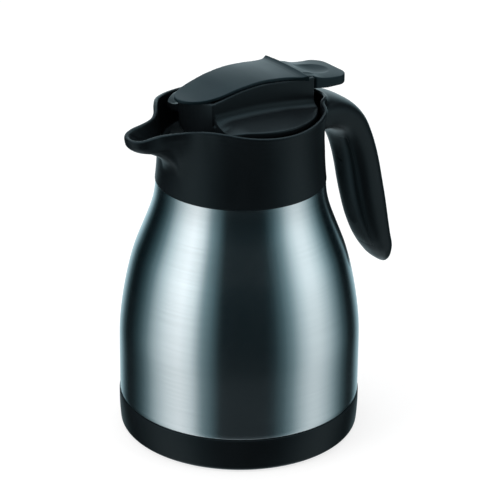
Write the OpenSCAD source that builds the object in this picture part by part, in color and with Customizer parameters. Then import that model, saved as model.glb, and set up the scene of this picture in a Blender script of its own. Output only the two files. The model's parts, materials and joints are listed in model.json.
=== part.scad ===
// Double-walled serving carafe, about one litre, with a screw-in stopper that a thumb lever opens.
// Lengths are in millimetres. The origin is the centre of the base on the table, +Z is up,
// the spout points towards -X and the handle towards +X. The object is symmetric about Y = 0,
// apart from its threads.

/* [Body] */
// Outer radius of the steel shell at its widest
shell_r = 63.6; // [61:0.1:66]
// Height where the straight side ends and the shoulder begins
side_z = 54; // [45:0.5:65]
// Thickness of both steel walls
steel_t = 0.8; // [0.5:0.05:1]
// Width of the vacuum space between the two walls
vacuum_gap = 5; // [3.5:0.1:6]
// Height of the shoulder's top, where the collar sits
collar_z = 138.9; // [134:0.1:142]
// Outer radius of the steel neck inside the collar
neck_r = 40.5; // [38:0.1:43]
// Width of the ledge round the neck that the collar sits on
neck_ledge = 3.7; // [3.2:0.1:4.5]
// Height of the steel neck above the shoulder
neck_h = 18.1; // [17:0.1:20]
// Width of the neck's flat top, from its outer face to the mouth
mouth_w = 5.1; // [4.5:0.1:5.6]
// Height of the inner vessel's floor above the table
vessel_z = 16; // [14.5:0.1:20]

/* [Base] */
// Height of the base cover's top edge above the table
base_h = 18.6; // [15:0.1:22]
// Wall thickness of the base cover
base_t = 1.6; // [1.2:0.05:2]
// Depth of the step in the shell that the base cover sits in
base_step = 1.3; // [0.8:0.05:1.6]
// Radius of the rounded lower edge of the base cover
base_round = 2.6; // [2:0.1:5]
// Thickness of the base cover's floor
base_floor_t = 2.4; // [2.2:0.1:3]
// Height that the foot pad stands proud of the base cover
foot_proud = 0.3; // [0.2:0.1:1]
// Radius of the foot pad
foot_r = 56; // [48:0.5:58]
// Depth of the recess that the foot pad lies in
foot_depth = 1.2; // [0.8:0.1:1.5]

/* [Collar and spout] */
// Distance that the collar's rim stands out beyond the neck
rim_flare = 4.5; // [4:0.1:5.5]
// Mean height of the rim
rim_z = 179.1; // [178:0.1:182]
// Height by which the rim rises at the spout and handle and dips at the sides
rim_wave = 3.2; // [2:0.1:3.5]
// Wall thickness of the collar at the rim
collar_t = 2.2; // [1.8:0.05:2.3]
// Distance that the spout stands out beyond the rim circle
spout_reach = 24.2; // [21:0.1:27]
// Half the width of the spout's channel, outside
spout_half_w = 10.3; // [9:0.1:12]
// Extra thickness of the rolled lip at the tip of the spout
lip_t = 0.6; // [0.3:0.1:1.2]
// Thickness of the neck ring's flange inside the collar
ring_flange_t = 2; // [1.6:0.1:2.5]
// Thickness of the gasket between steel mouth and neck ring
mouth_gasket_t = 1; // [0.6:0.1:1.5]
// Wall thickness of the neck ring's sleeve
sleeve_t = 1.75; // [1.5:0.05:2.2]
// Radial play between the pieces nested in the neck
neck_play = 0.2; // [0.1:0.05:0.3]

/* [Handle] */
// Width of the handle across its grip
handle_w = 27.6; // [24:0.1:30]
// Thickness of the handle across its grip
handle_t = 19.2; // [17:0.1:20]
// Width of the handle where it leaves the collar
handle_root_w = 38; // [34:0.5:40]
// Length of the handle from the rim down to its tip
handle_len = 111.5; // [95:0.5:125]
// Wall thickness of the hollow handle
handle_wall = 2.6; // [2:0.1:3.2]
// Thickness of the insert that closes the handle's inner side
insert_t = 2.4; // [2:0.1:3]
// Play between the insert and the handle
insert_play = 0.15; // [0.1:0.05:0.3]
// Shank radius of the handle's screws
screw_r = 1.5; // [1.2:0.1:1.8]

/* [Stopper] */
// Wall thickness of the stopper's mouldings
plug_t = 1.8; // [1.4:0.1:2.2]
// Depth of the plug below its shoulder
plug_depth = 25.6; // [22:0.1:30]
// Thickness of the stopper's gasket
gasket_t = 1.6; // [1.2:0.1:2]
// Radial height of the thread ridges
thread_h = 1.3; // [1:0.05:1.4]
// Radial play between a thread ridge and the wall that it faces
thread_play = 0.35; // [0.25:0.05:0.5]
// Rise of the stopper in one whole turn
thread_lead = 12; // [10:0.5:14]
// Number of thread starts
thread_starts = 3; // [2:1:3]
// Radius of the pour hole that the valve closes
seat_r = 7.5; // [6:0.1:8.5]
// Height of the pour window at the front of the plug
window_h = 6; // [4.5:0.1:7]

/* [Stopper cover] */
// Gap between the rim and the edge of the cover's flange
flange_gap = 3.4; // [2.6:0.1:4]
// Height of the flange's edge above the table
flange_z = 178; // [177:0.1:180]
// Distance that the cover's rounded front stands back from the flange's edge
front_step = 7.4; // [6.5:0.1:8]
// Half the width across the cover's side walls at the front
cover_half_w = 15.2; // [14:0.1:16]
// Distance that the cover's rear stands out beyond the circle of its front
rear_reach = 2; // [1:0.1:3]
// Height of the top plate's crown above the table
plate_z = 196.2; // [195:0.1:200]
// Thickness of the top plate
plate_t = 1.8; // [1.4:0.1:2.2]
// Distance that the top plate's rounded tip stands out over the cover's front
tip_reach = 7.6; // [5:0.1:9]

/* [Lever and valve] */
// Distance of the lever's pin behind the stopper's axis
pivot_x = 20; // [17:0.5:22]
// Height of the lever's pin above the table
pivot_z = 187.2; // [186.5:0.1:188]
// Radius of the lever's pin
pin_r = 1.5; // [1.2:0.1:1.8]
// Running clearance of pin and valve stem
run_play = 0.08; // [0.05:0.01:0.1]
// Distance of the thumb pad's end from the stopper's axis
pad_end = 58.8; // [56:0.1:62]
// Width of the thumb pad
pad_w = 29.4; // [26:0.2:31]
// Thickness of the thumb pad at its side
pad_t = 4.8; // [3.5:0.1:5]
// Radius of the valve stem
stem_r = 2; // [1.6:0.1:2.4]
// Wire radius of the valve's spring
wire_r = 0.5; // [0.4:0.05:0.7]

/* [Hidden] */

steel = "lightsteelblue";
black = "#23282b";
rubber = "#3a3a3a";
pale = "gainsboro";

tiny = 0.01;           // overlap that makes two shapes one
seat_gap = 0.1;        // gap between pieces that sit on each other
round_fn = 96;         // facets in the mesh of a full circle

// ---- Heights and radii that follow from the sizes above ----
mouth_z = collar_z + neck_h;
mouth_r = neck_r - mouth_w;
shoulder_r = neck_r + neck_ledge;
rim_r = neck_r + rim_flare;
flange_r = rim_r - collar_t - flange_gap;
front_r = flange_r - front_step;
cover_rear = front_r + rear_reach;
plate_tip = front_r + tip_reach;
ring_z = mouth_z + mouth_gasket_t + ring_flange_t;
shoulder_z = ring_z + gasket_t;
deck_t = plug_t;
window_z = shoulder_z + deck_t;
guide_z = window_z + window_h + 1.6;
plug_top_z = guide_z + deck_t;
plug_z = shoulder_z - plug_depth;
bowl_r = neck_r + 2 * neck_play + 0.1;
ring_r = neck_r + neck_play - 0.1;
ring_lip_r = ring_r - 2.6;              // inner edge of the collar's lip that holds the neck ring
ring_step_z = ring_z - ring_flange_t / 2;
sleeve_r = mouth_r - neck_play;
thread_bore_r = sleeve_r - sleeve_t;
plug_r = thread_bore_r - thread_play - thread_h;
flow_r = seat_r + 3.5;
upper_r = front_r - 2.4;
front_t = front_r - upper_r - 0.2;
bottom_z = foot_proud + base_floor_t + 3;
step_r = shell_r - base_step;
base_r = step_r + seat_gap + base_t;

// ---- Curves ----
// Point at t on a cubic Bezier curve
function bez(p, t) = pow(1 - t, 3) * p[0] + 3 * pow(1 - t, 2) * t * p[1]
    + 3 * (1 - t) * t * t * p[2] + pow(t, 3) * p[3];
// Points along a cubic Bezier curve, the last one left out
function bez_points(p, n) = [for (i = [0:n - 1]) bez(p, i / n)];
// Point at t between b and c on a smooth curve that also passes a and d
function between(a, b, c, d, t) = 0.5 * (2 * b + (c - a) * t + (2 * a - 5 * b + 4 * c - d) * t * t
    + (3 * b - 3 * c + d - a) * t * t * t);
// Smooth open curve through points, n steps between each pair
function spline(p, n) = let (m = len(p) - 1) concat([for (i = [0:m - 1], k = [0:n - 1])
    between(p[max(i - 1, 0)], p[i], p[i + 1], p[min(i + 2, m)], k / n)], [p[m]]);
// Height of a curve of [x, z] points at x
function height_at(p, x, i = 0) = i >= len(p) - 2 || x <= p[i + 1][0]
    ? p[i][1] + (p[i + 1][1] - p[i][1]) * (x - p[i][0]) / (p[i + 1][0] - p[i][0])
    : height_at(p, x, i + 1);
// Points of an arc from angle a0 to a1
function arc(c, r, a0, a1, n) = [for (i = [0:n]) let (a = a0 + (a1 - a0) * i / n) c + r * [cos(a), sin(a)]];
function clamp(x) = min(max(x, 0), 1);
function reversed(p) = [for (i = [len(p) - 1:-1:0]) p[i]];
// Every point of an outline moved by d
function moved(p, d) = [for (q = p) q + d];

// ---- Solids from rings of points ----
// Skin over rings of equal length. A loop joins the last ring to the first.
module skin(rings, loop = false) {
    n = len(rings[0]);
    m = len(rings);
    sides = [for (i = [0:loop ? m - 1 : m - 2], j = [0:n - 1]) each
        let (a = i * n + j, b = i * n + (j + 1) % n, c = (i + 1) % m * n + (j + 1) % n, d = (i + 1) % m * n + j)
        [[a, b, c], [a, c, d]]];
    ends = loop ? [] : [[for (j = [n - 1:-1:0]) j], [for (j = [0:n - 1]) (m - 1) * n + j]];
    polyhedron([for (r = rings) each r], concat(sides, ends), convexity = 10);
}
// Ring or disc from r0 to r1 between two heights
module ring(r0, r1, z0, z1) {
    rotate_extrude($fn = round_fn) translate([r0, z0]) square([r1 - r0, z1 - z0]);
}
// Solid of revolution of [r, z] points
module turned(p) {
    rotate_extrude($fn = round_fn) polygon(p);
}
// Ridge of a screw thread: three-sided, standing out from radius r by h (inwards when h is negative)
module thread_ridge(r, h, z, angle, start) {
    steps = round(angle / 9);
    foot = 1.1;
    crest = 0.45;
    sink = h > 0 ? -0.4 : 0.4;
    skin([for (i = [0:steps]) let (
            a = start + angle * i / steps,
            lift = z + thread_lead * angle / 360 * i / steps,
            grow = min(1, 0.25 + i / 3, 0.25 + (steps - i) / 3),
            section = [[r + sink, -foot], [r + h * grow, -crest], [r + h * grow, crest], [r + sink, foot]],
            turned_section = h > 0 ? section : reversed(section))
        [for (q = turned_section) [q[0] * cos(a), q[0] * sin(a), q[1] + lift]]]);
}

// ---- Steel vessel ----
// Outer face of the shell from side_z up to the collar, moved in by d
function shoulder_curve(d, n = 10) = let (w = shell_r - shoulder_r, h = collar_z - side_z)
    concat(
        bez_points([[shell_r, side_z], [shell_r, side_z + 0.085 * h], [shoulder_r + 0.83 * w, side_z + 0.385 * h],
            [shoulder_r + 0.535 * w, side_z + 0.57 * h]] - [for (i = [0:3]) [d, 0]], n),
        bez_points([[shoulder_r + 0.535 * w, side_z + 0.57 * h], [shoulder_r + 0.165 * w, side_z + 0.79 * h],
            [shoulder_r + 0.015 * w, side_z + 0.85 * h], [shoulder_r, collar_z]] - [for (i = [0:3]) [d, 0]], n),
        [[shoulder_r - d, collar_z]]);

module outer_shell() color(steel) {
    groove_z = collar_z + neck_h / 2;
    step_z = base_h + seat_gap;
    face = concat([[step_r, bottom_z - steel_t], [step_r, step_z], [shell_r - 0.3, step_z], [shell_r, step_z + 0.4]],
        shoulder_curve(0), [[neck_r, collar_z], [neck_r, groove_z - 1.2],
        [neck_r - 0.6, groove_z - 0.8], [neck_r - 0.6, groove_z + 0.8], [neck_r, groove_z + 1.2],
        [neck_r, mouth_z - 0.6], [neck_r - 0.6, mouth_z], [mouth_r, mouth_z]]);
    back = concat([[mouth_r, mouth_z - steel_t], [neck_r - 0.6 - steel_t, mouth_z - steel_t],
        [neck_r - 0.6 - steel_t, collar_z - steel_t]], reversed(shoulder_curve(steel_t)),
        [[shell_r - steel_t, step_z + 1.4], [step_r - steel_t, step_z + 0.7], [step_r - steel_t, bottom_z - steel_t]]);
    // the inner step starts just below the outer one, so the sheet keeps its thickness
    turned(concat(face, [for (q = back) if (q[1] != collar_z) q]));
}

module inner_vessel() color(steel) {
    d = steel_t + vacuum_gap;
    round_r = 12;
    wall_r = shell_r - d;
    bend_z = collar_z - 1.5;
    outer = concat([[0, vessel_z]], arc([wall_r - round_r, vessel_z + round_r], round_r, -90, 0, 8),
        [for (q = shoulder_curve(d)) if (q[1] < bend_z - 1) q],
        [[shoulder_r - d, bend_z], [mouth_r + steel_t, bend_z + 4.5], [mouth_r + steel_t, mouth_z - steel_t]]);
    inner = concat([[mouth_r, mouth_z - steel_t], [mouth_r, bend_z + 4.2], [shoulder_r - d - steel_t, bend_z - 0.3]],
        reversed([for (q = shoulder_curve(d + steel_t)) if (q[1] < bend_z - 1) q]),
        reversed(arc([wall_r - round_r, vessel_z + round_r], round_r - steel_t, -90, 0, 8)),
        [[0, vessel_z + steel_t]]);
    turned(concat(outer, inner));
}

module outer_bottom() color(steel) {
    dish = 2.2;
    hole_r = 1.5;
    r = step_r - steel_t - 0.05;
    face = [[hole_r, bottom_z + dish], [9, bottom_z + dish], [13, bottom_z], [r, bottom_z]];
    turned(concat(face, reversed(moved(face, [0, steel_t]))));
}

module evacuation_seal() color(pale) {
    z = bottom_z + 2.2;
    turned([[0, z - 0.9], [3.2, z - 0.9], [4, z - 0.3], [4, z], [1.4, z], [1.4, z + steel_t], [0, z + steel_t]]);
}

module getter() color(pale) {
    ring(3, 8, vessel_z - 2.4, vessel_z);
}

// ---- Base ----
module base_cover() color(black) {
    z = foot_proud;
    difference() {
        turned(concat([[0, z]], arc([base_r - 0.6 - base_round, z + base_round], base_round, -90, 0, 8),
            [[base_r - 0.2, 0.45 * base_h], [base_r, 0.75 * base_h]], arc([base_r - 0.5, base_h - 0.5], 0.5, 0, 90, 3),
            [[base_r - base_t, base_h], [base_r - base_t, bottom_z - 1], [base_r - base_t - 2, z + base_floor_t],
            [0, z + base_floor_t]]));
        ring(0, foot_r + seat_gap, -1, z + foot_depth);
    }
}

module foot_pad() color(rubber) {
    edge = 0.2;
    turned([[0, 0], [foot_r - edge, 0], [foot_r, edge], [foot_r, foot_proud + foot_depth],
        [0, foot_proud + foot_depth]]);
}

// ---- Collar, spout and handle ----
// Half of the rim's outer edge from the spout's tip to the handle, as [x, y, z].
// The spout's points are [reach beyond the circle, share of half width, height above rim_z].
spout_points = [[1, 0, -4.9], [0.968, 0.35, -4.9], [0.88, 0.67, -4.6], [0.76, 0.86, -4], [0.6, 0.95, -3.3],
    [0.41, 1, -2.8], [0.2, 1.15, -2.5], [0.04, 1.34, -2.1], [-0.11, 1.69, -1.1]];
// The handle's notch, as [angle, radius beyond the circle, height above rim_z]
notch_points = [[50, 0, -0.5], [43, -0.8, 0.2], [37, -2.2, 0.7], [31.5, -2.4, 1], [26.5, -0.9, 0.9],
    [20, 0.9, 0.3], [11, 2.1, -0.8], [0, 2.5, -1.4]];
function on_circle(a, r, z) = [r * cos(a), r * sin(a), z];
rim_knots = concat(
    [for (p = spout_points) [-(rim_r + spout_reach * p[0]), spout_half_w * p[1], rim_z + p[2]]],
    [for (a = [148, 136, 121, 106, 90, 76, 62]) on_circle(a, rim_r, rim_z + rim_wave * cos(2 * a) * (a > 140 ? 0.1 : 1))],
    [for (p = notch_points) on_circle(p[0], rim_r + p[1], rim_z + p[2])]);
half_rim = spline(rim_knots, 2);
rim_out = concat(half_rim, [for (i = [len(half_rim) - 2:-1:1]) [half_rim[i][0], -half_rim[i][1], half_rim[i][2]]]);
rim_n = len(rim_out);
// Outward direction in plan at rim point i
function rim_normal(i) = let (t = rim_out[(i + rim_n - 1) % rim_n] - rim_out[(i + 1) % rim_n])
    [t[1], -t[0]] / norm([t[0], t[1]]);
// 0 on the circle, 1 from the middle of the spout to its tip
function tip_share(p) = clamp((-p[0] - rim_r - 0.1 * spout_reach) / (0.45 * spout_reach));
// Inner edge of the rim at point i
function rim_inner(i) = let (p = rim_out[i], s = tip_share(p), w = collar_t + lip_t * s, n = rim_normal(i))
    [p[0] - n[0] * w, p[1] - n[1] * w, p[2] + 0.2 * s];
// The spout's underside and rolled lip, as [share of the collar's height, share of the reach]
lip_curve = spline([[0, 0], [0.28, 0], [0.42, 0.05], [0.53, 0.14], [0.64, 0.31], [0.72, 0.49], [0.775, 0.66],
    [0.805, 0.83], [0.85, 0.945], [0.905, 1], [1, 1]], 3);
// Share of the rim's standing out at share u of the collar's height: it grows out softly round the collar
// (s = 0) and rolls round the lip at the spout (s = 1)
function swell(u, s) = pow(clamp((u - 0.38) / 0.55), 1.65) * (1 - s) + height_at(lip_curve, u) * s;
function waist(u) = bez([collar_foot_r, rim_r - 2.1, rim_r - 2.4, rim_r], u);
collar_foot_z = collar_z + seat_gap;
collar_foot_r = shoulder_r + 0.3;
outer_steps = [0, 0.2, 0.36, 0.47, 0.56, 0.64, 0.71, 0.765, 0.8, 0.84, 0.885, 0.94, 1];
inner_steps = [1, 0.86, 0.7, 0.54, 0.4, 0.26, 0.12, 0];
function on_outer(p, u) = let (r = norm([p[0], p[1]]), a = atan2(p[1], p[0]))
    on_circle(a, waist(u) + (r - rim_r) * swell(u, tip_share(p)), collar_foot_z + (p[2] - collar_foot_z) * u);
function on_inner(p, v, grow) = let (r = norm([p[0], p[1]]), a = atan2(p[1], p[0]))
    on_circle(a, bowl_r + (r - bowl_r) * pow(v, 0.8) + grow, ring_z + (p[2] - ring_z) * v);

module collar_ring() {
    skin([for (i = [0:rim_n - 1]) let (p = rim_out[i], q = rim_inner(i), a = atan2(q[1], q[0]))
        reversed(concat(
            [for (u = outer_steps) on_outer(p, u)],
            [for (f = [0.2, 0.5, 0.8]) p + (q - p) * f + [0, 0, 0.7 * sin(180 * f)]],
            [for (v = inner_steps) on_inner(q, v, 0)],
            [on_circle(a, ring_lip_r, ring_z), on_circle(a, ring_lip_r, collar_foot_z)]))], loop = true);
}
// Space inside the collar, a little larger than its inner face, which the handle's root stays out of
module bowl_space() {
    below = ring_z - 10;
    above = rim_z + 30;
    skin([for (v = [-1, 0, 0.26, 0.54, 0.8, 1, 2]) [for (i = [0:2:rim_n - 1])
        let (p = on_inner(rim_inner(i), clamp(v), 0.8)) [p[0], p[1], v < 0 ? below : v > 1 ? above : p[2]]]]);
}

// Middle of the handle from inside the collar's wall to its tip:
// [distance beyond the rim circle, share of its length down from the rim, half thickness, half width],
// the last two as shares of the grip's
handle_knots = [[-9, 0.1, 0.97, 1.38], [-1, 0.1, 0.97, 1.35], [7, 0.115, 0.96, 1.24], [15, 0.153, 0.96, 1.12],
    [21, 0.21, 0.97, 1.05], [25.2, 0.284, 0.97, 1.01], [28.2, 0.36, 0.98, 1], [30.6, 0.44, 0.99, 1], [32.8, 0.53, 1, 1],
    [35.2, 0.62, 0.99, 0.99], [37.7, 0.71, 0.94, 0.97], [40.6, 0.795, 0.84, 0.93], [42.8, 0.845, 0.76, 0.88],
    [45, 0.89, 0.66, 0.79], [47, 0.93, 0.52, 0.66], [49, 0.965, 0.35, 0.48], [50.2, 0.985, 0.2, 0.3], [50.9, 1, 0.04, 0.06]];
root_w_share = handle_root_w / handle_w;
// Half width at share k of the grip's, where shares above 1 lead up to the root's width
function half_width(k) = handle_w / 2 * (k > 1 ? 1 + (k - 1) * (root_w_share - 1) / (handle_knots[0][3] - 1) : k);
handle_path = [for (k = handle_knots) [rim_r + k[0], rim_z - handle_len * k[1], handle_t / 2 * k[2], half_width(k[3])]];
handle_curve = spline(handle_path, 2);
handle_n = len(handle_curve);
// Unit vector across the handle in its own plane, away from the body, at curve point i
function across(i) = let (t = handle_curve[min(i + 1, handle_n - 1)] - handle_curve[max(i - 1, 0)])
    [-t[1], t[0]] / norm([t[0], t[1]]);
// Point at curve point i, a across and b sideways
function on_handle(i, a, b) = let (c = handle_curve[i], n = across(i)) [c[0] + n[0] * a, b, c[1] + n[1] * a];
square_power = 0.72;    // 1 is an ellipse, 0 a rectangle
// Rounded-square ring round curve point i
function handle_ring(i, n = 24) = let (c = handle_curve[i])
    [for (k = [0:n - 1]) let (s = 360 * k / n)
        on_handle(i, c[2] * sign(cos(s)) * pow(abs(cos(s)), square_power),
            c[3] * sign(sin(s)) * pow(abs(sin(s)), square_power))];
// Square ring round curve point i between two distances across, b half wide
function slot_ring(i, a0, a1, b) = [on_handle(i, a0, -b), on_handle(i, a0, b), on_handle(i, a1, b), on_handle(i, a1, -b)];
insert_first = 8;
insert_last = 24;
function insert_half_w(i) = handle_curve[i][3] - handle_wall - 1;
// Distance across to the handle's inner face at curve point i, b sideways
function inner_face(i, b) = -handle_curve[i][2] * pow(1 - pow(abs(b) / handle_curve[i][3], 2 / square_power), square_power / 2);
// Ring of the insert at curve point i: its face follows the handle's, its back is flat
function insert_ring(i, w) = concat([for (f = [-1, -0.7, -0.35, 0, 0.35, 0.7, 1]) on_handle(i, inner_face(i, f * w), f * w)],
    [on_handle(i, insert_t - handle_curve[i][2], w), on_handle(i, insert_t - handle_curve[i][2], -w)]);

module handle_solid() skin([for (i = [0:handle_n - 1]) handle_ring(i)]);
module handle_hollow() {
    skin([for (i = [insert_first:insert_last]) let (t = handle_curve[i][2])
        reversed(slot_ring(i, -t - 2, t - handle_wall, insert_half_w(i)))]);
}
// Places its children at the handle's screws, with +Z pointing out of the handle towards the body
screw_places = [12, 20];
module at_screws() {
    for (i = screw_places) {
        n = across(i);
        translate(on_handle(i, -handle_curve[i][2], 0)) rotate([0, atan2(-n[0], -n[1]), 0]) children();
    }
}
boss_r = 2 * screw_r + 0.6;
screw_len = 10;
head_r = 1.9 * screw_r;
head_t = 1.6;
cap_t = 1;
// Depths below the handle's inner face: of the screw's head, and of the insert's boss under it
head_z = -cap_t - head_t - 0.1;
boss_z = head_z - 1.5;

module collar_and_handle() color(black) {
    rib_z = collar_z + neck_h / 2;
    difference() {
        union() {
            collar_ring();
            difference() {
                handle_solid();
                bowl_space();
                handle_hollow();
            }
            intersection() {
                handle_solid();
                at_screws() translate([0, 0, -handle_t]) cylinder(r = boss_r, h = handle_t + boss_z - seat_gap, $fn = 32);
            }
        }
        translate([0, 0, collar_foot_z - 1]) cylinder(r = neck_r + neck_play, h = ring_step_z - collar_foot_z + 1, $fn = round_fn);
        at_screws() translate([0, 0, boss_z - screw_len]) cylinder(r = screw_r, h = screw_len + 1, $fn = 24);
    }
    ring(neck_r - 0.25, neck_r + 2 * neck_play, rib_z - 0.7, rib_z + 0.7);
}

module handle_insert() color(black) {
    difference() {
        union() {
            skin([for (i = [insert_first:insert_last]) let (
                    pull = i == insert_first ? insert_play : i == insert_last ? -insert_play : 0,
                    n = across(i), down = [n[1], 0, -n[0]])
                moved(reversed(insert_ring(i, insert_half_w(i) - insert_play)), down * pull)]);
            at_screws() translate([0, 0, boss_z]) cylinder(r = boss_r, h = -boss_z - insert_t / 2, $fn = 32);
        }
        at_screws() translate([0, 0, boss_z - 1]) cylinder(r = screw_r + 0.2, h = 5, $fn = 24);
        at_screws() translate([0, 0, head_z]) cylinder(r = head_r + 0.25, h = 5, $fn = 24);
    }
}

module handle_screws() color(steel) {
    at_screws() {
        translate([0, 0, boss_z - screw_len + 0.4]) cylinder(r = screw_r, h = head_z - boss_z + screw_len - 0.4 + tiny, $fn = 24);
        translate([0, 0, head_z]) cylinder(r = head_r, h = head_t, $fn = 24);
    }
}

module screw_plugs() color(black) {
    at_screws() translate([0, 0, -cap_t]) cylinder(r = head_r + 0.25, h = cap_t - 0.1, $fn = 24);
}

// ---- Neck fittings ----
module mouth_gasket() color(rubber) {
    ring(mouth_r + 0.6, neck_r - 0.3, mouth_z, mouth_z + mouth_gasket_t);
}

sleeve_z = mouth_z - 12;
ridge_z = 4.5;                          // height of the ring's thread above the sleeve's lower end
pitch = thread_lead / thread_starts;
mesh_drop = 1.5;                        // the plug's ridges run this far below those of the ring
module neck_ring() color(black) {
    ridge_angle = 90;
    turned([[thread_bore_r, sleeve_z], [sleeve_r, sleeve_z], [sleeve_r, mouth_z + mouth_gasket_t],
        [ring_r, mouth_z + mouth_gasket_t], [ring_r, ring_step_z - seat_gap], [ring_lip_r - neck_play, ring_step_z - seat_gap],
        [ring_lip_r - neck_play, ring_z], [thread_bore_r, ring_z]]);
    for (k = [0:thread_starts - 1]) {
        thread_ridge(thread_bore_r, -thread_h, sleeve_z + ridge_z, ridge_angle, 360 * k / thread_starts);
    }
}

// ---- Stopper ----
gasket_r0 = plug_r + 0.4;
gasket_r1 = gasket_r0 + 4.2;
module stopper_gasket() color(rubber) {
    turned([[gasket_r0, ring_z], [gasket_r1, ring_z], [gasket_r1, shoulder_z], [gasket_r0, shoulder_z]]);
}

window_half_w = 17;
boss_x = 16;
boss_y = 9;
cover_screw_r = 1.25;
module stopper_body() color(black) {
    difference() {
        union() {
            ring(plug_r - plug_t, plug_r, plug_z, shoulder_z + tiny);
            ring(flow_r, gasket_r1, shoulder_z, window_z);
            ring(flow_r, flow_r + plug_t, plug_z + deck_t, shoulder_z + tiny);
            ring(upper_r - plug_t, upper_r - 0.2, window_z - tiny, plug_top_z);
            ring(0, upper_r - plug_t + tiny, guide_z, plug_top_z);
            for (y = [-boss_y, boss_y], x = [-boss_x, boss_x]) {
                translate([x, y, guide_z - 4]) cylinder(r = cover_screw_r + 1.4, h = 4 + tiny, $fn = 32);
            }
        }
        translate([-upper_r - 5, -window_half_w, window_z]) cube([upper_r, 2 * window_half_w, window_h]);
        translate([0, 0, guide_z - 1]) cylinder(r = guide_r, h = deck_t + 2, $fn = 32);
        for (y = [-boss_y, boss_y], x = [-boss_x, boss_x]) {
            translate([x, y, guide_z - 3.2]) cylinder(r = cover_screw_r, h = 10, $fn = 24);
        }
    }
    for (k = [0:thread_starts - 1]) {
        thread_ridge(plug_r, thread_h, sleeve_z + ridge_z - mesh_drop - pitch / 2, 150, 360 * (k + 0.5) / thread_starts);
    }
}

module stopper_base() color(black) {
    turned([[seat_r, plug_z], [plug_r - plug_t - neck_play, plug_z], [plug_r - plug_t - neck_play, plug_z + deck_t - seat_gap],
        [seat_r, plug_z + deck_t - seat_gap]]);
}

module stopper_foam() color(pale) {
    ring(flow_r + plug_t + 0.3, plug_r - plug_t - 0.3, plug_z + deck_t + 0.2, shoulder_z - 0.2);
}

guide_r = stem_r + 2;
module stem_guide() color(pale) {
    turned([[stem_r + run_play, guide_z - 2], [guide_r + 1.5, guide_z - 2], [guide_r + 1.5, guide_z], [guide_r, guide_z],
        [guide_r, plug_top_z + 0.6], [stem_r + run_play, plug_top_z + 0.6]]);
}

// ---- Cover of the stopper ----
// Top of the top plate along the mirror plane, as [x, drop below the crown]
// and x is in shares of the plate's reach in front of the axis and behind it
ridge_x = cover_rear - 6;
ridge_h = 1.1;
plate_rear = ridge_x + 1;
plate_knots = [[-1.02, 6.1], [-0.81, 5.4], [-0.556, 3.5], [-0.303, 1.3], [0, 0], [0.345, 0.3], [0.69, 1.3], [1, 2.1]];
plate_top = [for (p = spline(plate_knots, 4)) [p[0] * (p[0] < 0 ? plate_tip : plate_rear), plate_z - p[1]]];
// Half of the plate's outline from its tip to its rear corner
// as [share of the plate's length from its tip, share of its half width]
plate_half_w = cover_half_w - 0.4;
edge_shares = [[0, 0], [0.016, 0.257], [0.055, 0.5], [0.111, 0.689], [0.184, 0.838], [0.287, 0.932], [0.462, 0.98],
    [0.696, 1], [0.828, 1.02], [0.915, 1.108], [0.997, 1.304]];
plate_edge = spline([for (s = edge_shares) [s[0] * (plate_tip + plate_rear) - plate_tip, s[1] * plate_half_w]], 3);

// Side wall at distance d inside the cover's outer face, as half width at x
function wall_y(x, d) = cover_half_w + 1.3 * (x + front_r) / (front_r + cover_rear) - d;
// Plan of the cover's upper shell at distance d inside its outer face
module cover_plan(d, rear) {
    intersection() {
        polygon([[-front_r, -wall_y(-front_r, d)], [rear, -wall_y(rear, d)], [rear, wall_y(rear, d)],
            [-front_r, wall_y(-front_r, d)]]);
        union() {
            circle(r = front_r - (d > 0 ? front_t : 0), $fn = round_fn);
            translate([0, -cover_half_w * 2]) square([rear, cover_half_w * 4]);
        }
    }
}
// Everything under the top plate's lower face, drop below its top face
module under_plate(drop, z0) {
    rotate([90, 0, 0]) translate([0, 0, -50]) linear_extrude(100)
        polygon(concat([for (p = plate_top) p - [0, drop]], [[cover_rear + 1, height_at(plate_top, plate_rear) - drop - 0.9],
            [cover_rear + 1, z0], [-plate_tip - 1, z0]]));
}
flange_tilt = 2.3;
flange_cut = 27;       // distance of the flange's front end from the axis
skirt_h = 3.4;         // height of the flange's turned-down edge
crease_r = 3.6;        // radius of the hollow between wall and flange
function flange_top(r) = flange_z + (flange_r - r) * 0.09;
crease_z = flange_top(cover_half_w);

module flange() {
    intersection() {
        flange_slope() turned([[upper_r, flange_top(upper_r) - plug_t], [flange_r - plug_t, flange_z - plug_t],
            [flange_r - plug_t, flange_z - skirt_h], [flange_r - 0.5, flange_z - skirt_h], [flange_r, flange_z - skirt_h + 0.6],
            [flange_r, flange_z - 0.6], [flange_r - 0.6, flange_z], [0, flange_top(0)], [0, flange_top(0) - plug_t]]);
        linear_extrude(300) flange_plan(0);
    }
}
// Turns its children down towards the rear, about the flange's middle
module flange_slope() {
    translate([0, 0, flange_z]) rotate([0, flange_tilt, 0]) translate([0, 0, -flange_z]) children();
}
// Plan of the flange: cut off in front, with rounded corners
flange_corner_r = 6.5;
module flange_plan(inset) {
    q = flange_corner_r;
    centre = [q - flange_cut, sqrt(pow(flange_r - q, 2) - pow(flange_cut - q, 2))];
    corner = moved(arc([0, 0], q, 180, atan2(centre[1], centre[0]), 6), centre);
    side = concat([for (p = corner) p + [inset, 0]], [[-flange_cut, 60], [60, 60]]);
    polygon(concat(side, reversed([for (p = side) [p[0], -p[1]]])));
}
// Closed front end of the flange, on one side
module flange_end() {
    intersection() {
        flange_slope() turned([[front_r / 2, flange_z - skirt_h], [flange_r - 0.5, flange_z - skirt_h],
            [flange_r, flange_z - skirt_h + 0.6], [flange_r, flange_z - 0.6], [flange_r - 0.6, flange_z],
            [front_r / 2, flange_top(front_r / 2)]]);
        difference() {
            linear_extrude(300) flange_plan(0);
            translate([0, 0, -1]) linear_extrude(302) flange_plan(plug_t);
        }
        translate([-50, cover_half_w, 0]) cube([50, 50, 300]);
    }
}
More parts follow.
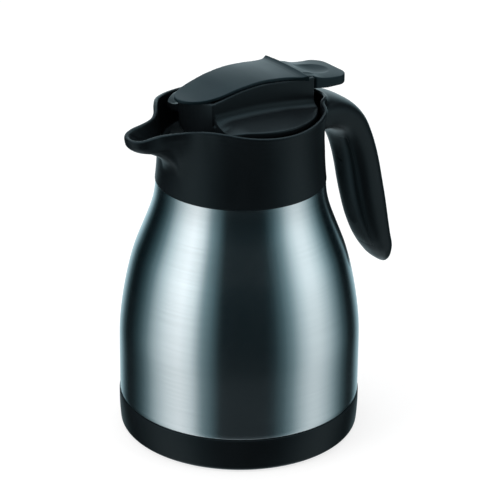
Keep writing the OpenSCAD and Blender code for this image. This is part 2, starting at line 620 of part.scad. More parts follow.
// Hollow fillet along one side wall
module crease() {
    r = crease_r;
    corner = [[0, -0.5], [r, -0.5 - 0.09 * r], each arc([r, r], r, -90, -180, 6), [-1, r], [-1, -0.5]];
    wall_turn = atan(1.3 / (front_r + cover_rear));
    translate([0, 0, crease_z]) rotate([0, flange_tilt, 0]) translate([-flange_cut, wall_y(-flange_cut, 0), 0])
        rotate([90, 0, 90 + wall_turn]) linear_extrude(flange_cut + cover_rear) polygon(corner);
}
deck_z = crease_z - 2.4;
module stopper_cover() color(black) {
    difference() {
        union() {
            // skirt round the plug's top, and the rounded front and side walls up to the top plate
            ring(upper_r + 0.1, front_r, window_z + window_h, deck_z);
            intersection() {
                translate([0, 0, deck_z - 1]) linear_extrude(40) difference() {
                    cover_plan(0, cover_rear);
                    cover_plan(plug_t, cover_rear + 5);
                }
                under_plate(plate_t, 0);
            }
            difference() {
                ring(0, front_r, deck_z - deck_t, deck_z);
                translate([0, 0, deck_z - deck_t - 1]) cylinder(r = stem_r + 1, h = 5, $fn = 32);
            }
            difference() {
                union() {
                    flange();
                    flange_end();
                    mirror([0, 1, 0]) flange_end();
                }
                translate([0, 0, 150]) linear_extrude(60) cover_plan(0.9, cover_rear + 10);
            }
            crease();
            mirror([0, 1, 0]) crease();
            // low sill behind, and the two bosses that hold the lever's pin
            translate([cover_rear - plug_t, -wall_y(cover_rear, 0.5), deck_z - 1]) cube([plug_t, 2 * wall_y(cover_rear, 0.5), 3]);
            for (s = [-1, 1]) {
                translate([pivot_x, s * (wall_y(pivot_x, plug_t) - 1.2), pivot_z]) rotate([90, 0, 0])
                    cylinder(r = pin_r + 1.5, h = 3.6, center = true, $fn = 32);
            }
        }
        translate([pivot_x, 0, pivot_z]) rotate([90, 0, 0]) cylinder(r = pin_r + seat_gap / 2, h = 2 * pin_half_l + 0.2, center = true, $fn = 32);
        for (y = [-boss_y, boss_y], x = [-boss_x, boss_x]) {
            translate([x, y, deck_z - 10]) cylinder(r = cover_screw_r + 0.15, h = 30, $fn = 24);
        }
    }
}

module cover_screws() color(steel) {
    for (y = [-boss_y, boss_y], x = [-boss_x, boss_x]) {
        translate([x, y, guide_z - 3]) cylinder(r = cover_screw_r, h = deck_z - guide_z + 3 + tiny, $fn = 24);
        translate([x, y, deck_z]) cylinder(r = 2 * cover_screw_r, h = 1.4, $fn = 24);
    }
}

module top_plate() color("#3c4a50") {
    edge = concat(plate_edge, reversed([for (p = plate_edge) [p[0], -p[1]]]));
    ridge = [[ridge_x - 4, 0], [ridge_x - 1.4, 0.35], [ridge_x, ridge_h], [ridge_x + 0.5, ridge_h],
        [ridge_x + 0.8, -plate_t]];
    intersection() {
        linear_extrude(300) polygon(edge);
        rotate([90, 0, 0]) translate([0, 0, -50]) linear_extrude(100) polygon(concat(
            [for (p = plate_top) if (p[0] < ridge_x - 4) p],
            [for (q = ridge) [q[0], height_at(plate_top, min(q[0], ridge_x)) + q[1]]],
            reversed([for (p = plate_top) if (p[0] < ridge_x) p - [0, plate_t - 0.02]])));
    }
}

// ---- Lever and its pin ----
pin_half_l = wall_y(pivot_x, plug_t) + 0.6;
arm_t = 3.6;
arm_half_w = 8;
hub_half_w = wall_y(pivot_x, plug_t) - 3.4;
pad_top = [[cover_rear - 3.6, 6.2], [cover_rear + 1.5, 5], [cover_rear + 6, 3.4], [cover_rear + 12, 2.2],
    [cover_rear + 18, 1.5], [pad_end, 0.9]];
pad_z = pivot_z;
pad_gap = 1.6;         // gap between the cover's rear edge and the pad
module thumb_lever() color("#333d42") {
    top = [for (p = spline(pad_top, 4)) [p[0], pad_z + p[1]]];
    corner = 8;
    half = pad_w / 2;
    front = cover_rear + pad_gap;
    neck_half = arm_half_w + 2;
    difference() {
        union() {
            // thumb pad
            intersection() {
                linear_extrude(300) polygon(concat([[front, -half + 1], [front + 1, -half]],
                    arc([pad_end - corner, -half + corner], corner, -90, 0, 8),
                    arc([pad_end - corner, half - corner], corner, 0, 90, 8), [[front + 1, half], [front, half - 1]]));
                rotate([90, 0, 0]) translate([0, 0, -50]) linear_extrude(100) polygon(concat(top,
                    [[pad_end, pad_z + 1 - pad_t], [front + 8, pad_z + 1.2 - pad_t], [front, pad_z + 2.4 - pad_t],
                    [cover_rear - 3.6, pad_z + 2.4 - pad_t]]));
            }
            // neck through the cover's rear opening, hub on the pin and arm forward to the valve stem
            intersection() {
                translate([0, -neck_half, 0]) cube([front + 2, 2 * neck_half, 300]);
                rotate([90, 0, 0]) translate([0, 0, -50]) linear_extrude(100) polygon(concat(
                    [[pivot_x - 2, pivot_z - 1.8], [pivot_x - 2, pivot_z + 2.4], [cover_rear - 8, pivot_z + 3]],
                    [for (p = top) if (p[0] < front + 3) p], [[front + 3, pad_z + 2.4 - pad_t], [cover_rear - 8, pivot_z - 2.2]]));
            }
            translate([pivot_x, 0, pivot_z]) rotate([90, 0, 0]) cylinder(r = pin_r + 1.7, h = 2 * hub_half_w, center = true, $fn = 48);
            translate([-stem_r - 4, -arm_half_w, arm_z]) cube([pivot_x + stem_r + 4, 2 * arm_half_w, arm_t]);
        }
        translate([pivot_x, 0, pivot_z]) rotate([90, 0, 0]) cylinder(r = pin_r + run_play, h = 60, center = true, $fn = 48);
        // slot round the stem, open towards the front
        translate([-20, -stem_r - 0.5, 0]) cube([20, 2 * stem_r + 1, 300]);
        cylinder(r = stem_r + 0.5, h = 300, $fn = 32);
        // scooped thumb rest
        translate([cover_rear + 15.5, 0, pad_z + 41.6]) rotate([90, 0, 0]) sphere(r = 41, $fn = 64);
    }
}
arm_z = pivot_z - 1.6;

module lever_pin() color(steel) {
    translate([pivot_x, 0, pivot_z]) rotate([90, 0, 0]) cylinder(r = pin_r, h = 2 * pin_half_l, center = true, $fn = 48);
}

// ---- Valve ----
seal_t = 1.5;
disc_t = 2.4;
seat_top_z = plug_z + deck_t - seat_gap;
disc_z = seat_top_z + seal_t;
disc_r = flow_r - 1.2;
stem_top_z = arm_z + arm_t + 0.2;      // under the stem's head
module valve_stem() color(steel) {
    turned([[0, seat_top_z - 3.4], [stem_r - 0.4, seat_top_z - 3.4], [stem_r, seat_top_z - 3], [stem_r, stem_top_z],
        [stem_r + 1.8, stem_top_z], [stem_r + 1.8, stem_top_z + 1], [stem_r + 1.2, stem_top_z + 1.5], [0, stem_top_z + 1.5]]);
}
module valve_nut() color(steel) {
    difference() {
        translate([0, 0, seat_top_z - 2.6]) cylinder(r = 2 * stem_r, h = 2.6, $fn = 6);
        translate([0, 0, seat_top_z - 3]) cylinder(r = stem_r, h = 4, $fn = 32);
    }
}
module valve_disc() color(pale) {
    turned([[stem_r, disc_z], [disc_r, disc_z], [disc_r, disc_z + disc_t - 1], [disc_r - 1, disc_z + disc_t],
        [stem_r, disc_z + disc_t]]);
}
module valve_seal() color(rubber) {
    ring(stem_r, disc_r - 0.3, seat_top_z, disc_z);
}
spring_r = stem_r + 2.4;
module valve_spring() color(steel) {
    turns = 7;
    steps = 16;
    z0 = disc_z + disc_t + wire_r;
    z1 = guide_z - 2 - wire_r;
    skin([for (i = [0:turns * steps]) let (a = 360 * i / steps, f = i / (turns * steps),
            z = z0 + (z1 - z0) * (f - sin(360 * f) / 14))
        [for (k = [0:5]) let (b = 60 * k, r = spring_r + wire_r * cos(b)) [r * cos(a), r * sin(a), z + wire_r * sin(b)]]]);
}

outer_shell();
inner_vessel();
outer_bottom();
evacuation_seal();
getter();
base_cover();
foot_pad();
collar_and_handle();
handle_insert();
handle_screws();
screw_plugs();
mouth_gasket();
neck_ring();
stopper_gasket();
stopper_body();
stopper_base();
stopper_foam();
stopper_cover();
cover_screws();
top_plate();
thumb_lever();
lever_pin();
stem_guide();
valve_stem();
valve_nut();
valve_disc();
valve_seal();
valve_spring();
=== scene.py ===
"""Looks of a thermal carafe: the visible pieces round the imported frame, their finishes and a studio.

A piece's points are in millimetres while it is shaped, and in metres once it is kept. The origin is
the middle of the foot on the table, +Z is up, the spout points towards -X and the handle towards +X.
"""
import json
import math

import bmesh
import bpy
import numpy as np
from mathutils import Matrix, Vector


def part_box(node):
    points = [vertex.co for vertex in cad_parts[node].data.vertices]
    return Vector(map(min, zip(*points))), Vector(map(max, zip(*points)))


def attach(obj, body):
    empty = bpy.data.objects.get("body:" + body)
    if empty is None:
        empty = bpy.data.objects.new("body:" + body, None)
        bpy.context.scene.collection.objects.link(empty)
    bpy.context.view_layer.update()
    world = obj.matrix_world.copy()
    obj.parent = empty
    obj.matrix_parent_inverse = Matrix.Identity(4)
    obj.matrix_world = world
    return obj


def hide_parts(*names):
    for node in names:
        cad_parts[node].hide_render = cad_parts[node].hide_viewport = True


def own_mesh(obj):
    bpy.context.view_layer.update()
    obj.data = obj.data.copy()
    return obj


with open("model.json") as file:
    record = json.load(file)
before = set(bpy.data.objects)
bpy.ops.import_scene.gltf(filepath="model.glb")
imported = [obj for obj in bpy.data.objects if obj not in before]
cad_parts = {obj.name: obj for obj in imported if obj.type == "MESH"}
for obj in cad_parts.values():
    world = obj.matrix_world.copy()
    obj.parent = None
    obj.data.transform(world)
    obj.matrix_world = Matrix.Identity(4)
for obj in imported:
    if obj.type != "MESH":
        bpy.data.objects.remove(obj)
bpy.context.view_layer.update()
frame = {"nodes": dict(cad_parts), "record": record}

bl_info = {
    "name": "Thermal carafe",
    "version": (1, 0, 0),
    "blender": (4, 5, 0),
    "location": "View3D > Sidebar > Carafe",
    "description": "Builds the visible pieces of a thermal carafe with a thumb lever, and its studio",
    "category": "Object",
}

MM = 0.001

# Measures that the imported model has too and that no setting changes, in millimetres unless they say
# otherwise
SHEET = 0.8             # thickness of the steel
SEAT_GAP = 0.1          # between pieces that sit on each other
NECK_HEIGHT = 18.1      # steel neck above the shoulder
MOUTH_WIDTH = 5.1       # flat top of the neck, from its outer face to the mouth
RING_SEAT = 3           # mouth gasket and flange of the neck ring, above the mouth
STEP_DEPTH = 1.3        # step in the shell that the base cover sits in
SHELL_FOOT = 4.9        # lower end of the shell, inside the base
STOPPER_WALL = 1.8      # mouldings of the stopper
STOPPER_GASKET = 1.6    # height of the gasket under the stopper
POUR_WINDOW = 6         # height of the window in the stopper's front
FLANGE_TILT = 2.3       # degrees that the stopper's flange leans down to the rear
FLANGE_FALL = 0.09      # slope of the flange towards its edge, as a share
FLANGE_FRONT = 27.0     # distance of the flange's front end from the middle
FLANGE_SKIRT = 3.4      # height of the flange's turned-down edge
CREASE = 4.4            # radius of the hollow between cover and flange
SQUARENESS = 0.72       # power for the handle's section: 1 is an ellipse, 0 a rectangle
PAD_GAP = 1.6           # between the cover's rear edge and the thumb pad

HANDLE_STEPS = 6                # points of the handle's curve from one knot to the next
INSERT_ROWS = range(24, 73)     # points of that curve along which the insert lies
SCREW_ROWS = (36, 60)           # those at its screws


# ---------------------------------------------------------------- settings
def length(name, description, default_mm, low, high):
    """A length in metres with a default in millimetres."""
    return bpy.props.FloatProperty(name=name, description=description, default=default_mm * MM, min=low * MM,
                                   max=high * MM, unit="LENGTH", subtype="DISTANCE", precision=4)


def colour(name, description, default):
    """A colour in linear light."""
    return bpy.props.FloatVectorProperty(name=name, description=description, default=default, size=3, min=0,
                                         max=1, subtype="COLOR")


def share(name, description, default):
    """A number from 0 to 1."""
    return bpy.props.FloatProperty(name=name, description=description, default=default, min=0, max=1,
                                   subtype="FACTOR")


def lamp_power(name, description, default):
    """Power of a lamp in watts."""
    return bpy.props.FloatProperty(name=name, description=description, default=default, min=0, max=200,
                                   unit="POWER")


def packed_mm(node, corner, axis):
    """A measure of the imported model: one coordinate of a node's lowest (0) or highest (1) corner."""
    return round(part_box(node)[corner][axis] / MM, 2)


class CarafeSizes(bpy.types.PropertyGroup):
    """Sizes of the visible pieces."""
    shell_radius: length("Shell radius", "Outer radius of the steel at its widest",
                         packed_mm("outer_shell", 1, 0), 55, 75)
    neck_radius: length("Neck radius", "Outer radius of the steel neck inside the collar", 40.5, 36, 45)
    ledge: length("Ledge", "Width of the ledge round the neck that the collar sits on", 3.7, 3, 5)
    side_height: length("Side height", "Height where the straight side ends", 54, 45, 65)
    shoulder_height: length("Shoulder height", "Height of the shoulder's top, under the collar",
                            138.9, 130, 145)
    base_radius: length("Base radius", "Outer radius of the base cover",
                        packed_mm("base_cover", 1, 0), 55, 76)
    base_height: length("Base height", "Height of the base cover's top edge",
                        packed_mm("base_cover", 1, 2), 14, 24)
    rim_radius: length("Rim radius", "Radius of the collar's rim, beside the spout", 45, 42, 50)
    rim_height: length("Rim height", "Mean height of the rim", 179.1, 175, 185)
    rim_wave: length("Rim wave", "How much the rim dips at its sides", 3.2, 1, 5)
    collar_wall: length("Collar wall", "Wall thickness at the rim", 2.2, 1.5, 3)
    spout_reach: length("Spout reach", "How far the spout stands out beyond the rim", 24.2, 18, 30)
    spout_half_width: length("Spout half width", "Half the width of the pouring channel", 10.3, 8, 13)
    handle_length: length("Handle length", "Height from the rim down to the handle's tip", 111.5, 90, 125)
    handle_width: length("Handle width", "Width of the grip", 27.6, 22, 32)
    handle_thickness: length("Handle thickness", "Thickness of the grip", 19.2, 15, 22)
    handle_root_width: length("Handle root width", "Width of the handle at the collar", 38, 30, 42)
    flange_radius: length("Flange radius", "Radius of the stopper cover's flange", 39.4, 36, 41)
    flange_height: length("Flange height", "Height of the flange's edge", 178, 175, 182)
    cover_half_width: length("Cover half width", "Half the width across the cover's walls", 15.2, 13, 17)
    plate_height: length("Plate height", "Height of the top plate's crown", 196.2, 192, 200)
    plate_thickness: length("Plate thickness", "Thickness of the top plate", 1.8, 1.2, 2.6)
    pad_end: length("Pad end", "Distance of the thumb pad's end from the middle", 58.8, 54, 63)
    pad_width: length("Pad width", "Width of the thumb pad", 29.4, 25, 32)
    pad_thickness: length("Pad thickness", "Thickness of the thumb pad at its side", 4.8, 3, 6)
    pin_x: length("Pin place", "Distance of the lever's pin behind the middle", 20, 16, 24)
    pin_height: length("Pin height", "Height of the lever's pin", 187.2, 184, 190)
    grain: length("Mesh grain", "Size of the smallest face on the softened mouldings", 0.45, 0.25, 2)


class CarafeFinishes(bpy.types.PropertyGroup):
    """Colours and roughness of the main finishes."""
    steel: colour("Steel", "Colour of the brushed steel", (0.575, 0.635, 0.66))
    steel_roughness: share("Steel roughness", "Roughness of the brushed steel", 0.215)
    steel_brushing: share("Steel brushing", "How far the brushing stretches reflections up and down", 0.8)
    black: colour("Black moulding", "Colour of collar, handle and base", (0.0040, 0.0052, 0.0062))
    black_roughness: share("Black roughness", "Roughness of the black mouldings", 0.34)
    satin: colour("Satin moulding", "Colour of top plate and thumb lever", (0.0035, 0.0072, 0.0088))
    satin_roughness: share("Satin roughness", "Roughness of top plate and thumb lever", 0.4)
    silicone: colour("Silicone", "Colour of the gaskets", (0.30, 0.31, 0.31))


class CarafeStudio(bpy.types.PropertyGroup):
    """Lamps and lens of the studio."""
    left_power: lamp_power("Left lamp", "Power of the large lamp on the left", 13.0)
    right_power: lamp_power("Right lamp", "Power of the large lamp on the right", 8.0)
    top_power: lamp_power("Top lamp", "Power of the lamp overhead", 9.0)
    room: share("Room light", "Strength of the plain light from all round", 0.42)
    lens: bpy.props.FloatProperty(name="Lens", description="Focal length of the camera", default=173.8,
                                  min=50, max=400, unit="CAMERA")


# ---------------------------------------------------------------- curves
def bezier(p, n, last=False):
    """n points along a cubic Bezier curve, with or without its last point."""
    p = np.array(p, float)
    t = np.linspace(0, 1, n, endpoint=last)
    if p.ndim > 1:
        t = t[:, None]
    return (1 - t) ** 3 * p[0] + 3 * (1 - t) ** 2 * t * p[1] + 3 * (1 - t) * t * t * p[2] + t ** 3 * p[3]


def curve_through(points, n):
    """Smooth open curve through points, n steps between each pair."""
    p = np.array(points, float)
    last = len(p) - 1
    found = []
    for i in range(last):
        a, b, c, d = p[max(i - 1, 0)], p[i], p[i + 1], p[min(i + 2, last)]
        for t in np.arange(n) / n:
            found.append(0.5 * (2 * b + (c - a) * t + (2 * a - 5 * b + 4 * c - d) * t * t
                                + (3 * b - 3 * c + d - a) * t ** 3))
    return np.array(found + [p[last]])


def arc(centre, radius, first, last, n):
    """Points of an arc between two angles in degrees."""
    a = np.radians(np.linspace(first, last, n + 1))
    return np.column_stack([centre[0] + radius * np.cos(a), centre[1] + radius * np.sin(a)])


def fade(value, start, width):
    """0 up to start, 1 from width beyond it, and even in between."""
    return np.clip((value - start) / width, 0, 1)


def mirrored(outline):
    """A closed outline from its half on the +Y side, given from front to rear."""
    half = np.array(outline, float)
    other = half[::-1] * [1, -1]
    return np.vstack([half, other[:-1] if half[0][1] == 0 else other])


# ---------------------------------------------------------------- solids
def solid(points, faces):
    """A loose object from points in millimetres, its faces turned outwards."""
    mesh = bpy.data.meshes.new("solid")
    mesh.from_pydata([tuple(point) for point in np.array(points, float)], [],
                     [tuple(int(i) for i in face) for face in faces])
    mesh.validate()
    piece = bpy.data.objects.new("solid", mesh)
    bpy.context.scene.collection.objects.link(piece)
    turn_outwards(mesh)
    return piece


def turn_outwards(mesh):
    """Joins doubled points, drops loose edges and turns the faces outwards."""
    same_place = 1e-5
    work = bmesh.new()
    work.from_mesh(mesh)
    bmesh.ops.remove_doubles(work, verts=work.verts, dist=same_place)
    bmesh.ops.delete(work, geom=[edge for edge in work.edges if not edge.link_faces], context="EDGES")
    bmesh.ops.recalc_face_normals(work, faces=work.faces)
    work.to_mesh(mesh)
    work.free()


def skin(rings, loop=False):
    """Solid over rings of equal length. A loop joins the last ring to the first."""
    rings = np.array(rings, float)
    m, n = rings.shape[:2]
    faces = []
    for i in range(m if loop else m - 1):
        for j in range(n):
            faces.append((i * n + j, i * n + (j + 1) % n, (i + 1) % m * n + (j + 1) % n, (i + 1) % m * n + j))
    if not loop:
        faces += [tuple(range(n)), tuple(range((m - 1) * n, m * n))]
    return solid(rings.reshape(-1, 3), faces)


def lathe(profile, around=192):
    """Solid of revolution about Z of a closed outline of [radius, height] points."""
    r, z = np.array(profile, float).T
    turns = np.radians(np.arange(around) * 360 / around)
    return skin([np.column_stack([r * math.cos(a), r * math.sin(a), z]) for a in turns], loop=True)


def prism(outline, low, high, axis="Z"):
    """Outline of [x, y] points pulled from low to high along Z, or of [x, z] points along Y."""
    p = np.array(outline, float)
    flat = np.zeros((len(p), 1))
    if axis == "Z":
        return skin([np.hstack([p, flat + low]), np.hstack([p, flat + high])])
    return skin([np.hstack([p[:, :1], flat + low, p[:, 1:]]), np.hstack([p[:, :1], flat + high, p[:, 1:]])])


def rod(start, end, radius, around=48):
    """Round bar between two points."""
    a, b = Vector(start), Vector(end)
    turn = (b - a).to_track_quat("Z", "Y").to_matrix()
    ring = [turn @ Vector((radius * math.cos(t), radius * math.sin(t), 0))
            for t in np.radians(np.arange(around) * 360 / around)]
    return skin([[a + q for q in ring], [b + q for q in ring]])


def slab(x, y, top, bottom):
    """Solid between two height functions over a grid of x and y."""
    gx, gy = np.meshgrid(x, y, indexing="ij")
    n, m = gx.shape
    upper = np.column_stack([gx.ravel(), gy.ravel(), top(gx, gy).ravel()])
    lower = np.column_stack([gx.ravel(), gy.ravel(), bottom(gx, gy).ravel()])
    size = n * m
    faces = []
    for i in range(n - 1):
        for j in range(m - 1):
            a, b, c, d = i * m + j, (i + 1) * m + j, (i + 1) * m + j + 1, i * m + j + 1
            faces += [(a, b, c, d), (size + d, size + c, size + b, size + a)]
    border = ([i * m for i in range(n)] + [(n - 1) * m + j for j in range(1, m)]
              + [i * m + m - 1 for i in range(n - 2, -1, -1)] + [j for j in range(m - 2, 0, -1)])
    for k, a in enumerate(border):
        b = border[(k + 1) % len(border)]
        faces.append((a, b, size + b, size + a))
    return solid(np.vstack([upper, lower]), faces)


def moved(piece, matrix):
    """The piece with its points moved by a matrix."""
    piece.data.transform(matrix)
    return piece


def settle(piece):
    """Keeps the result of a piece's modifiers as its mesh."""
    graph = bpy.context.evaluated_depsgraph_get()
    mesh = bpy.data.meshes.new_from_object(piece.evaluated_get(graph))
    old = piece.data
    piece.modifiers.clear()
    piece.data = mesh
    bpy.data.meshes.remove(old)
    return piece


def combine(piece, tool, how):
    """Cuts piece by tool (DIFFERENCE), or keeps what both share (INTERSECT)."""
    step = piece.modifiers.new("combine", "BOOLEAN")
    step.solver = "EXACT"
    step.operation = how
    step.object = tool
    settle(piece)
    bpy.data.objects.remove(tool)
    if not piece.data.polygons:
        raise RuntimeError(f"nothing is left after {how} of {piece.name}")
    return piece


def cut(piece, *tools):
    """The piece without the tools' space."""
    for tool in tools:
        combine(piece, tool, "DIFFERENCE")
    return piece


def within(piece, tool):
    """What piece and tool share."""
    return combine(piece, tool, "INTERSECT")


def together(*pieces):
    """Several solids as one object."""
    first = pieces[0]
    with bpy.context.temp_override(active_object=first, selected_editable_objects=list(pieces)):
        bpy.ops.object.join()
    return first


def soften(piece, grain, passes):
    """Melts overlapping solids into one skin of even small faces and takes the sharpness off its edges."""
    coarser = 1
    melt = piece.modifiers.new("melt", "REMESH")
    melt.mode = "VOXEL"
    melt.voxel_size = grain * coarser
    melt.use_smooth_shade = True
    smooth = piece.modifiers.new("smooth", "SMOOTH")
    smooth.factor = 0.5
    smooth.iterations = passes
    return settle(piece)


def mesh_points(mesh):
    """The mesh's points as rows."""
    co = np.empty(len(mesh.vertices) * 3)
    mesh.vertices.foreach_get("co", co)
    return co.reshape(-1, 3)


def mesh_normals(mesh):
    """The normals at the mesh's points as rows."""
    found = np.empty(len(mesh.vertices) * 3)
    mesh.vertices.foreach_get("normal", found)
    return found.reshape(-1, 3)


def fill_hollows(piece, where, passes):
    """Rounds hollow corners where(points) is above 0, and leaves outer edges as they are."""
    pace = 0.8
    mesh = piece.data
    edges = np.empty(len(mesh.edges) * 2, int)
    mesh.edges.foreach_get("vertices", edges)
    a, b = edges.reshape(-1, 2).T
    count = len(mesh.vertices)
    met = np.bincount(a, minlength=count) + np.bincount(b, minlength=count)
    co = mesh_points(mesh)
    weight = where(co)
    for _ in range(passes):
        near = np.column_stack([np.bincount(a, co[b, k], count) + np.bincount(b, co[a, k], count)
                                for k in range(3)])
        step = near / np.maximum(met, 1)[:, None] - co
        normals = mesh_normals(mesh)
        rise = np.maximum((step * normals).sum(1), 0)
        co += normals * (pace * rise * weight)[:, None]
        mesh.vertices.foreach_set("co", co.ravel())
        mesh.update()
    return piece


def keep(piece, name, finish, body, nodes, sharp=40):
    """Turns a shaped piece into metres, smooth shaded with its finish, riding on its body for its nodes."""
    piece.name = name
    piece.data.name = name
    piece.data.transform(Matrix.Scale(MM, 4))
    piece.data.shade_smooth()
    if sharp:
        piece.data.set_sharp_from_angle(angle=math.radians(sharp))
    piece.data.materials.clear()
    piece.data.materials.append(finish)
    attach(piece, body)
    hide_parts(*nodes)
    return piece


# ---------------------------------------------------------------- finishes
class Nodes:
    """Short words for making a material's nodes."""

    def __init__(self, name):
        self.material = bpy.data.materials.new(name)
        self.material.use_nodes = True
        self.tree = self.material.node_tree
        self.shader = self.tree.nodes["Principled BSDF"]
        self.place = self.add("ShaderNodeTexCoord").outputs["Object"]

    def add(self, kind, **settings):
        """A new node with its settings."""
        node = self.tree.nodes.new(kind)
        for key, value in settings.items():
            setattr(node, key, value)
        return node

    def link(self, source, target):
        """Joins an output to an input."""
        self.tree.links.new(source, target)

    def set(self, **values):
        """Plain values on the shader's own sockets, named with _ for a space."""
        for key, value in values.items():
            self.shader.inputs[key.replace("_", " ")].default_value = value

    def noise(self, scale, detail=3.0, stretch=(1, 1, 1), roughness=0.5):
        """Noise with scale cells a metre, stretched along each axis."""
        mapping = self.add("ShaderNodeMapping")
        mapping.inputs["Scale"].default_value = stretch
        self.link(self.place, mapping.inputs["Vector"])
        node = self.add("ShaderNodeTexNoise")
        node.inputs["Scale"].default_value = scale
        node.inputs["Detail"].default_value = detail
        node.inputs["Roughness"].default_value = roughness
        self.link(mapping.outputs[0], node.inputs["Vector"])
        return node.outputs["Fac"]

    def span(self, source, low, high, start=0.3, end=0.7):
        """Source between start and end mapped to low and high."""
        node = self.add("ShaderNodeMapRange")
        for socket, value in (("From Min", start), ("From Max", end), ("To Min", low), ("To Max", high)):
            node.inputs[socket].default_value = value
        self.link(source, node.inputs["Value"])
        return node.outputs[0]

    def blend(self, source, dark, light):
        """Colour between dark and light by source."""
        share_in, dark_in, light_in, colour_out = 0, 6, 7, 2
        node = self.add("ShaderNodeMix", data_type="RGBA")
        node.inputs[dark_in].default_value = (*dark, 1)
        node.inputs[light_in].default_value = (*light, 1)
        self.link(source, node.inputs[share_in])
        self.link(node.outputs[colour_out], self.shader.inputs["Base Color"])

    def relief(self, source, strength, depth, under=None):
        """Bump by source, on top of another one."""
        node = self.add("ShaderNodeBump")
        node.inputs["Strength"].default_value = strength
        node.inputs["Distance"].default_value = depth
        self.link(source, node.inputs["Height"])
        if under:
            self.link(under.outputs[0], node.inputs["Normal"])
        self.link(node.outputs[0], self.shader.inputs["Normal"])
        return node


def tinted(tone, factor):
    """A colour made darker or lighter."""
    return tuple(min(1.0, c * factor) for c in tone)


def brushed_steel(name, tone, roughness, brushing, fine=4200):
    """Steel with hair lines that run round the Z axis."""
    n = Nodes(name)
    lines = n.noise(fine, 4, (0.006, 0.006, 1), 0.6)
    bands = n.noise(950, 4, (0.02, 0.02, 1), 0.6)
    cloud = n.noise(22, 2, (1, 1, 0.6))
    cloud_share = 0.35
    n.blend(n.span(bands, 0, 1), tinted(tone, 0.967), tinted(tone, 1.022))
    mixed = n.add("ShaderNodeMath", operation="MULTIPLY_ADD")
    n.link(cloud, mixed.inputs[0])
    mixed.inputs[1].default_value = cloud_share
    n.link(lines, mixed.inputs[2])
    n.link(n.span(mixed.outputs[0], roughness - 0.02, roughness + 0.025, 0.4, 0.95),
           n.shader.inputs["Roughness"])
    n.relief(lines, 0.4, 0.00001)
    tangent = n.add("ShaderNodeTangent", direction_type="RADIAL", axis="Z")
    n.link(tangent.outputs[0], n.shader.inputs["Tangent"])
    quarter_turn = 0.25
    n.set(Metallic=1.0, Anisotropic=brushing, Anisotropic_Rotation=quarter_turn)
    return n.material


def moulding(name, tone, roughness, grain=3200, depth=0.00001, gloss=0.5, tint=(1, 1, 1)):
    """Injection-moulded plastic: fine even texture, faint flow clouds and handling gloss."""
    n = Nodes(name)
    spark = n.noise(grain, 3, roughness=0.6)
    flow = n.noise(60, 3, (1, 1, 0.5))
    wear = n.noise(26, 2)
    n.blend(n.span(flow, 0, 1), tinted(tone, 0.88), tinted(tone, 1.18))
    n.link(n.span(wear, roughness - 0.05, roughness + 0.06), n.shader.inputs["Roughness"])
    ripple = n.relief(flow, 0.25, 0.00008)
    n.relief(spark, 0.5, depth, ripple)
    n.set(Specular_IOR_Level=gloss, Specular_Tint=(*tint, 1))
    return n.material


def soft_rubber(name, tone, roughness=0.62):
    """Matt rubber or silicone with a dusty bloom."""
    n = Nodes(name)
    dust = n.noise(900, 4, roughness=0.7)
    bloom = n.noise(70, 2)
    n.blend(n.span(bloom, 0, 1), tinted(tone, 0.85), tinted(tone, 1.15))
    n.link(n.span(dust, roughness - 0.08, roughness + 0.1), n.shader.inputs["Roughness"])
    n.relief(dust, 0.4, 0.00002)
    return n.material


def cell_foam(name, tone):
    """Closed-cell foam with small round cells."""
    n = Nodes(name)
    cells = n.add("ShaderNodeTexVoronoi")
    cells.inputs["Scale"].default_value = 1500
    n.link(n.place, cells.inputs["Vector"])
    n.blend(n.span(cells.outputs["Distance"], 0, 1, 0, 0.6), tinted(tone, 0.9), tone)
    n.relief(cells.outputs["Distance"], 0.6, 0.0002)
    n.set(Roughness=0.85)
    return n.material


def plain_metal(name, tone, roughness, scale=900):
    """Turned or pressed small metal part with faint machining marks."""
    n = Nodes(name)
    marks = n.noise(scale, 4, (1, 1, 3), 0.6)
    n.blend(n.span(marks, 0, 1), tinted(tone, 0.85), tone)
    n.link(n.span(marks, roughness - 0.06, roughness + 0.1), n.shader.inputs["Roughness"])
    n.relief(marks, 0.2, 0.00002)
    n.set(Metallic=1.0)
    return n.material


def finishes(colours):
    """One finish for each material slot of the record."""
    soft_gloss = 0.17
    return {
        "steel": brushed_steel("shell_steel", colours.steel, colours.steel_roughness, colours.steel_brushing),
        "inner_steel": brushed_steel("vessel_steel", (0.55, 0.56, 0.57), 0.33, 0.5, 2600),
        "black_plastic": moulding("black_moulding", colours.black, colours.black_roughness,
                                  gloss=soft_gloss, tint=(0.58, 0.9, 1)),
        "satin_plastic": moulding("satin_moulding", colours.satin, colours.satin_roughness,
                                  gloss=soft_gloss, tint=(0.5, 0.84, 1)),
        "rubber": soft_rubber("foot_rubber", (0.025, 0.025, 0.025)),
        "silicone": soft_rubber("gasket_silicone", colours.silicone, 0.5),
        "guide_plastic": moulding("guide_moulding", (0.55, 0.55, 0.53), 0.42, 1800, 0.00002),
        "foam": cell_foam("filler_foam", (0.72, 0.71, 0.66)),
        "fastener": plain_metal("screw_steel", (0.55, 0.55, 0.56), 0.3),
        "seal_glass": soft_rubber("solder_bead", (0.42, 0.42, 0.4), 0.4),
        "getter_metal": plain_metal("getter_metal", (0.38, 0.38, 0.38), 0.5, 400),
    }


def finish_for(slot):
    """The finish of a slot, made once for all pieces."""
    shelf = bpy.context.scene.carafe_shelf
    if not len(shelf):
        for key, material in finishes(bpy.context.scene.carafe_finishes).items():
            row = shelf.add()
            row.name = key
            row.finish = material
    if slot not in shelf:
        raise RuntimeError(f"no finish is made for slot {slot}")
    return shelf[slot].finish


class ShelfRow(bpy.types.PropertyGroup):
    """One slot's finish."""
    finish: bpy.props.PointerProperty(name="Finish", description="Material of this slot",
                                      type=bpy.types.Material)


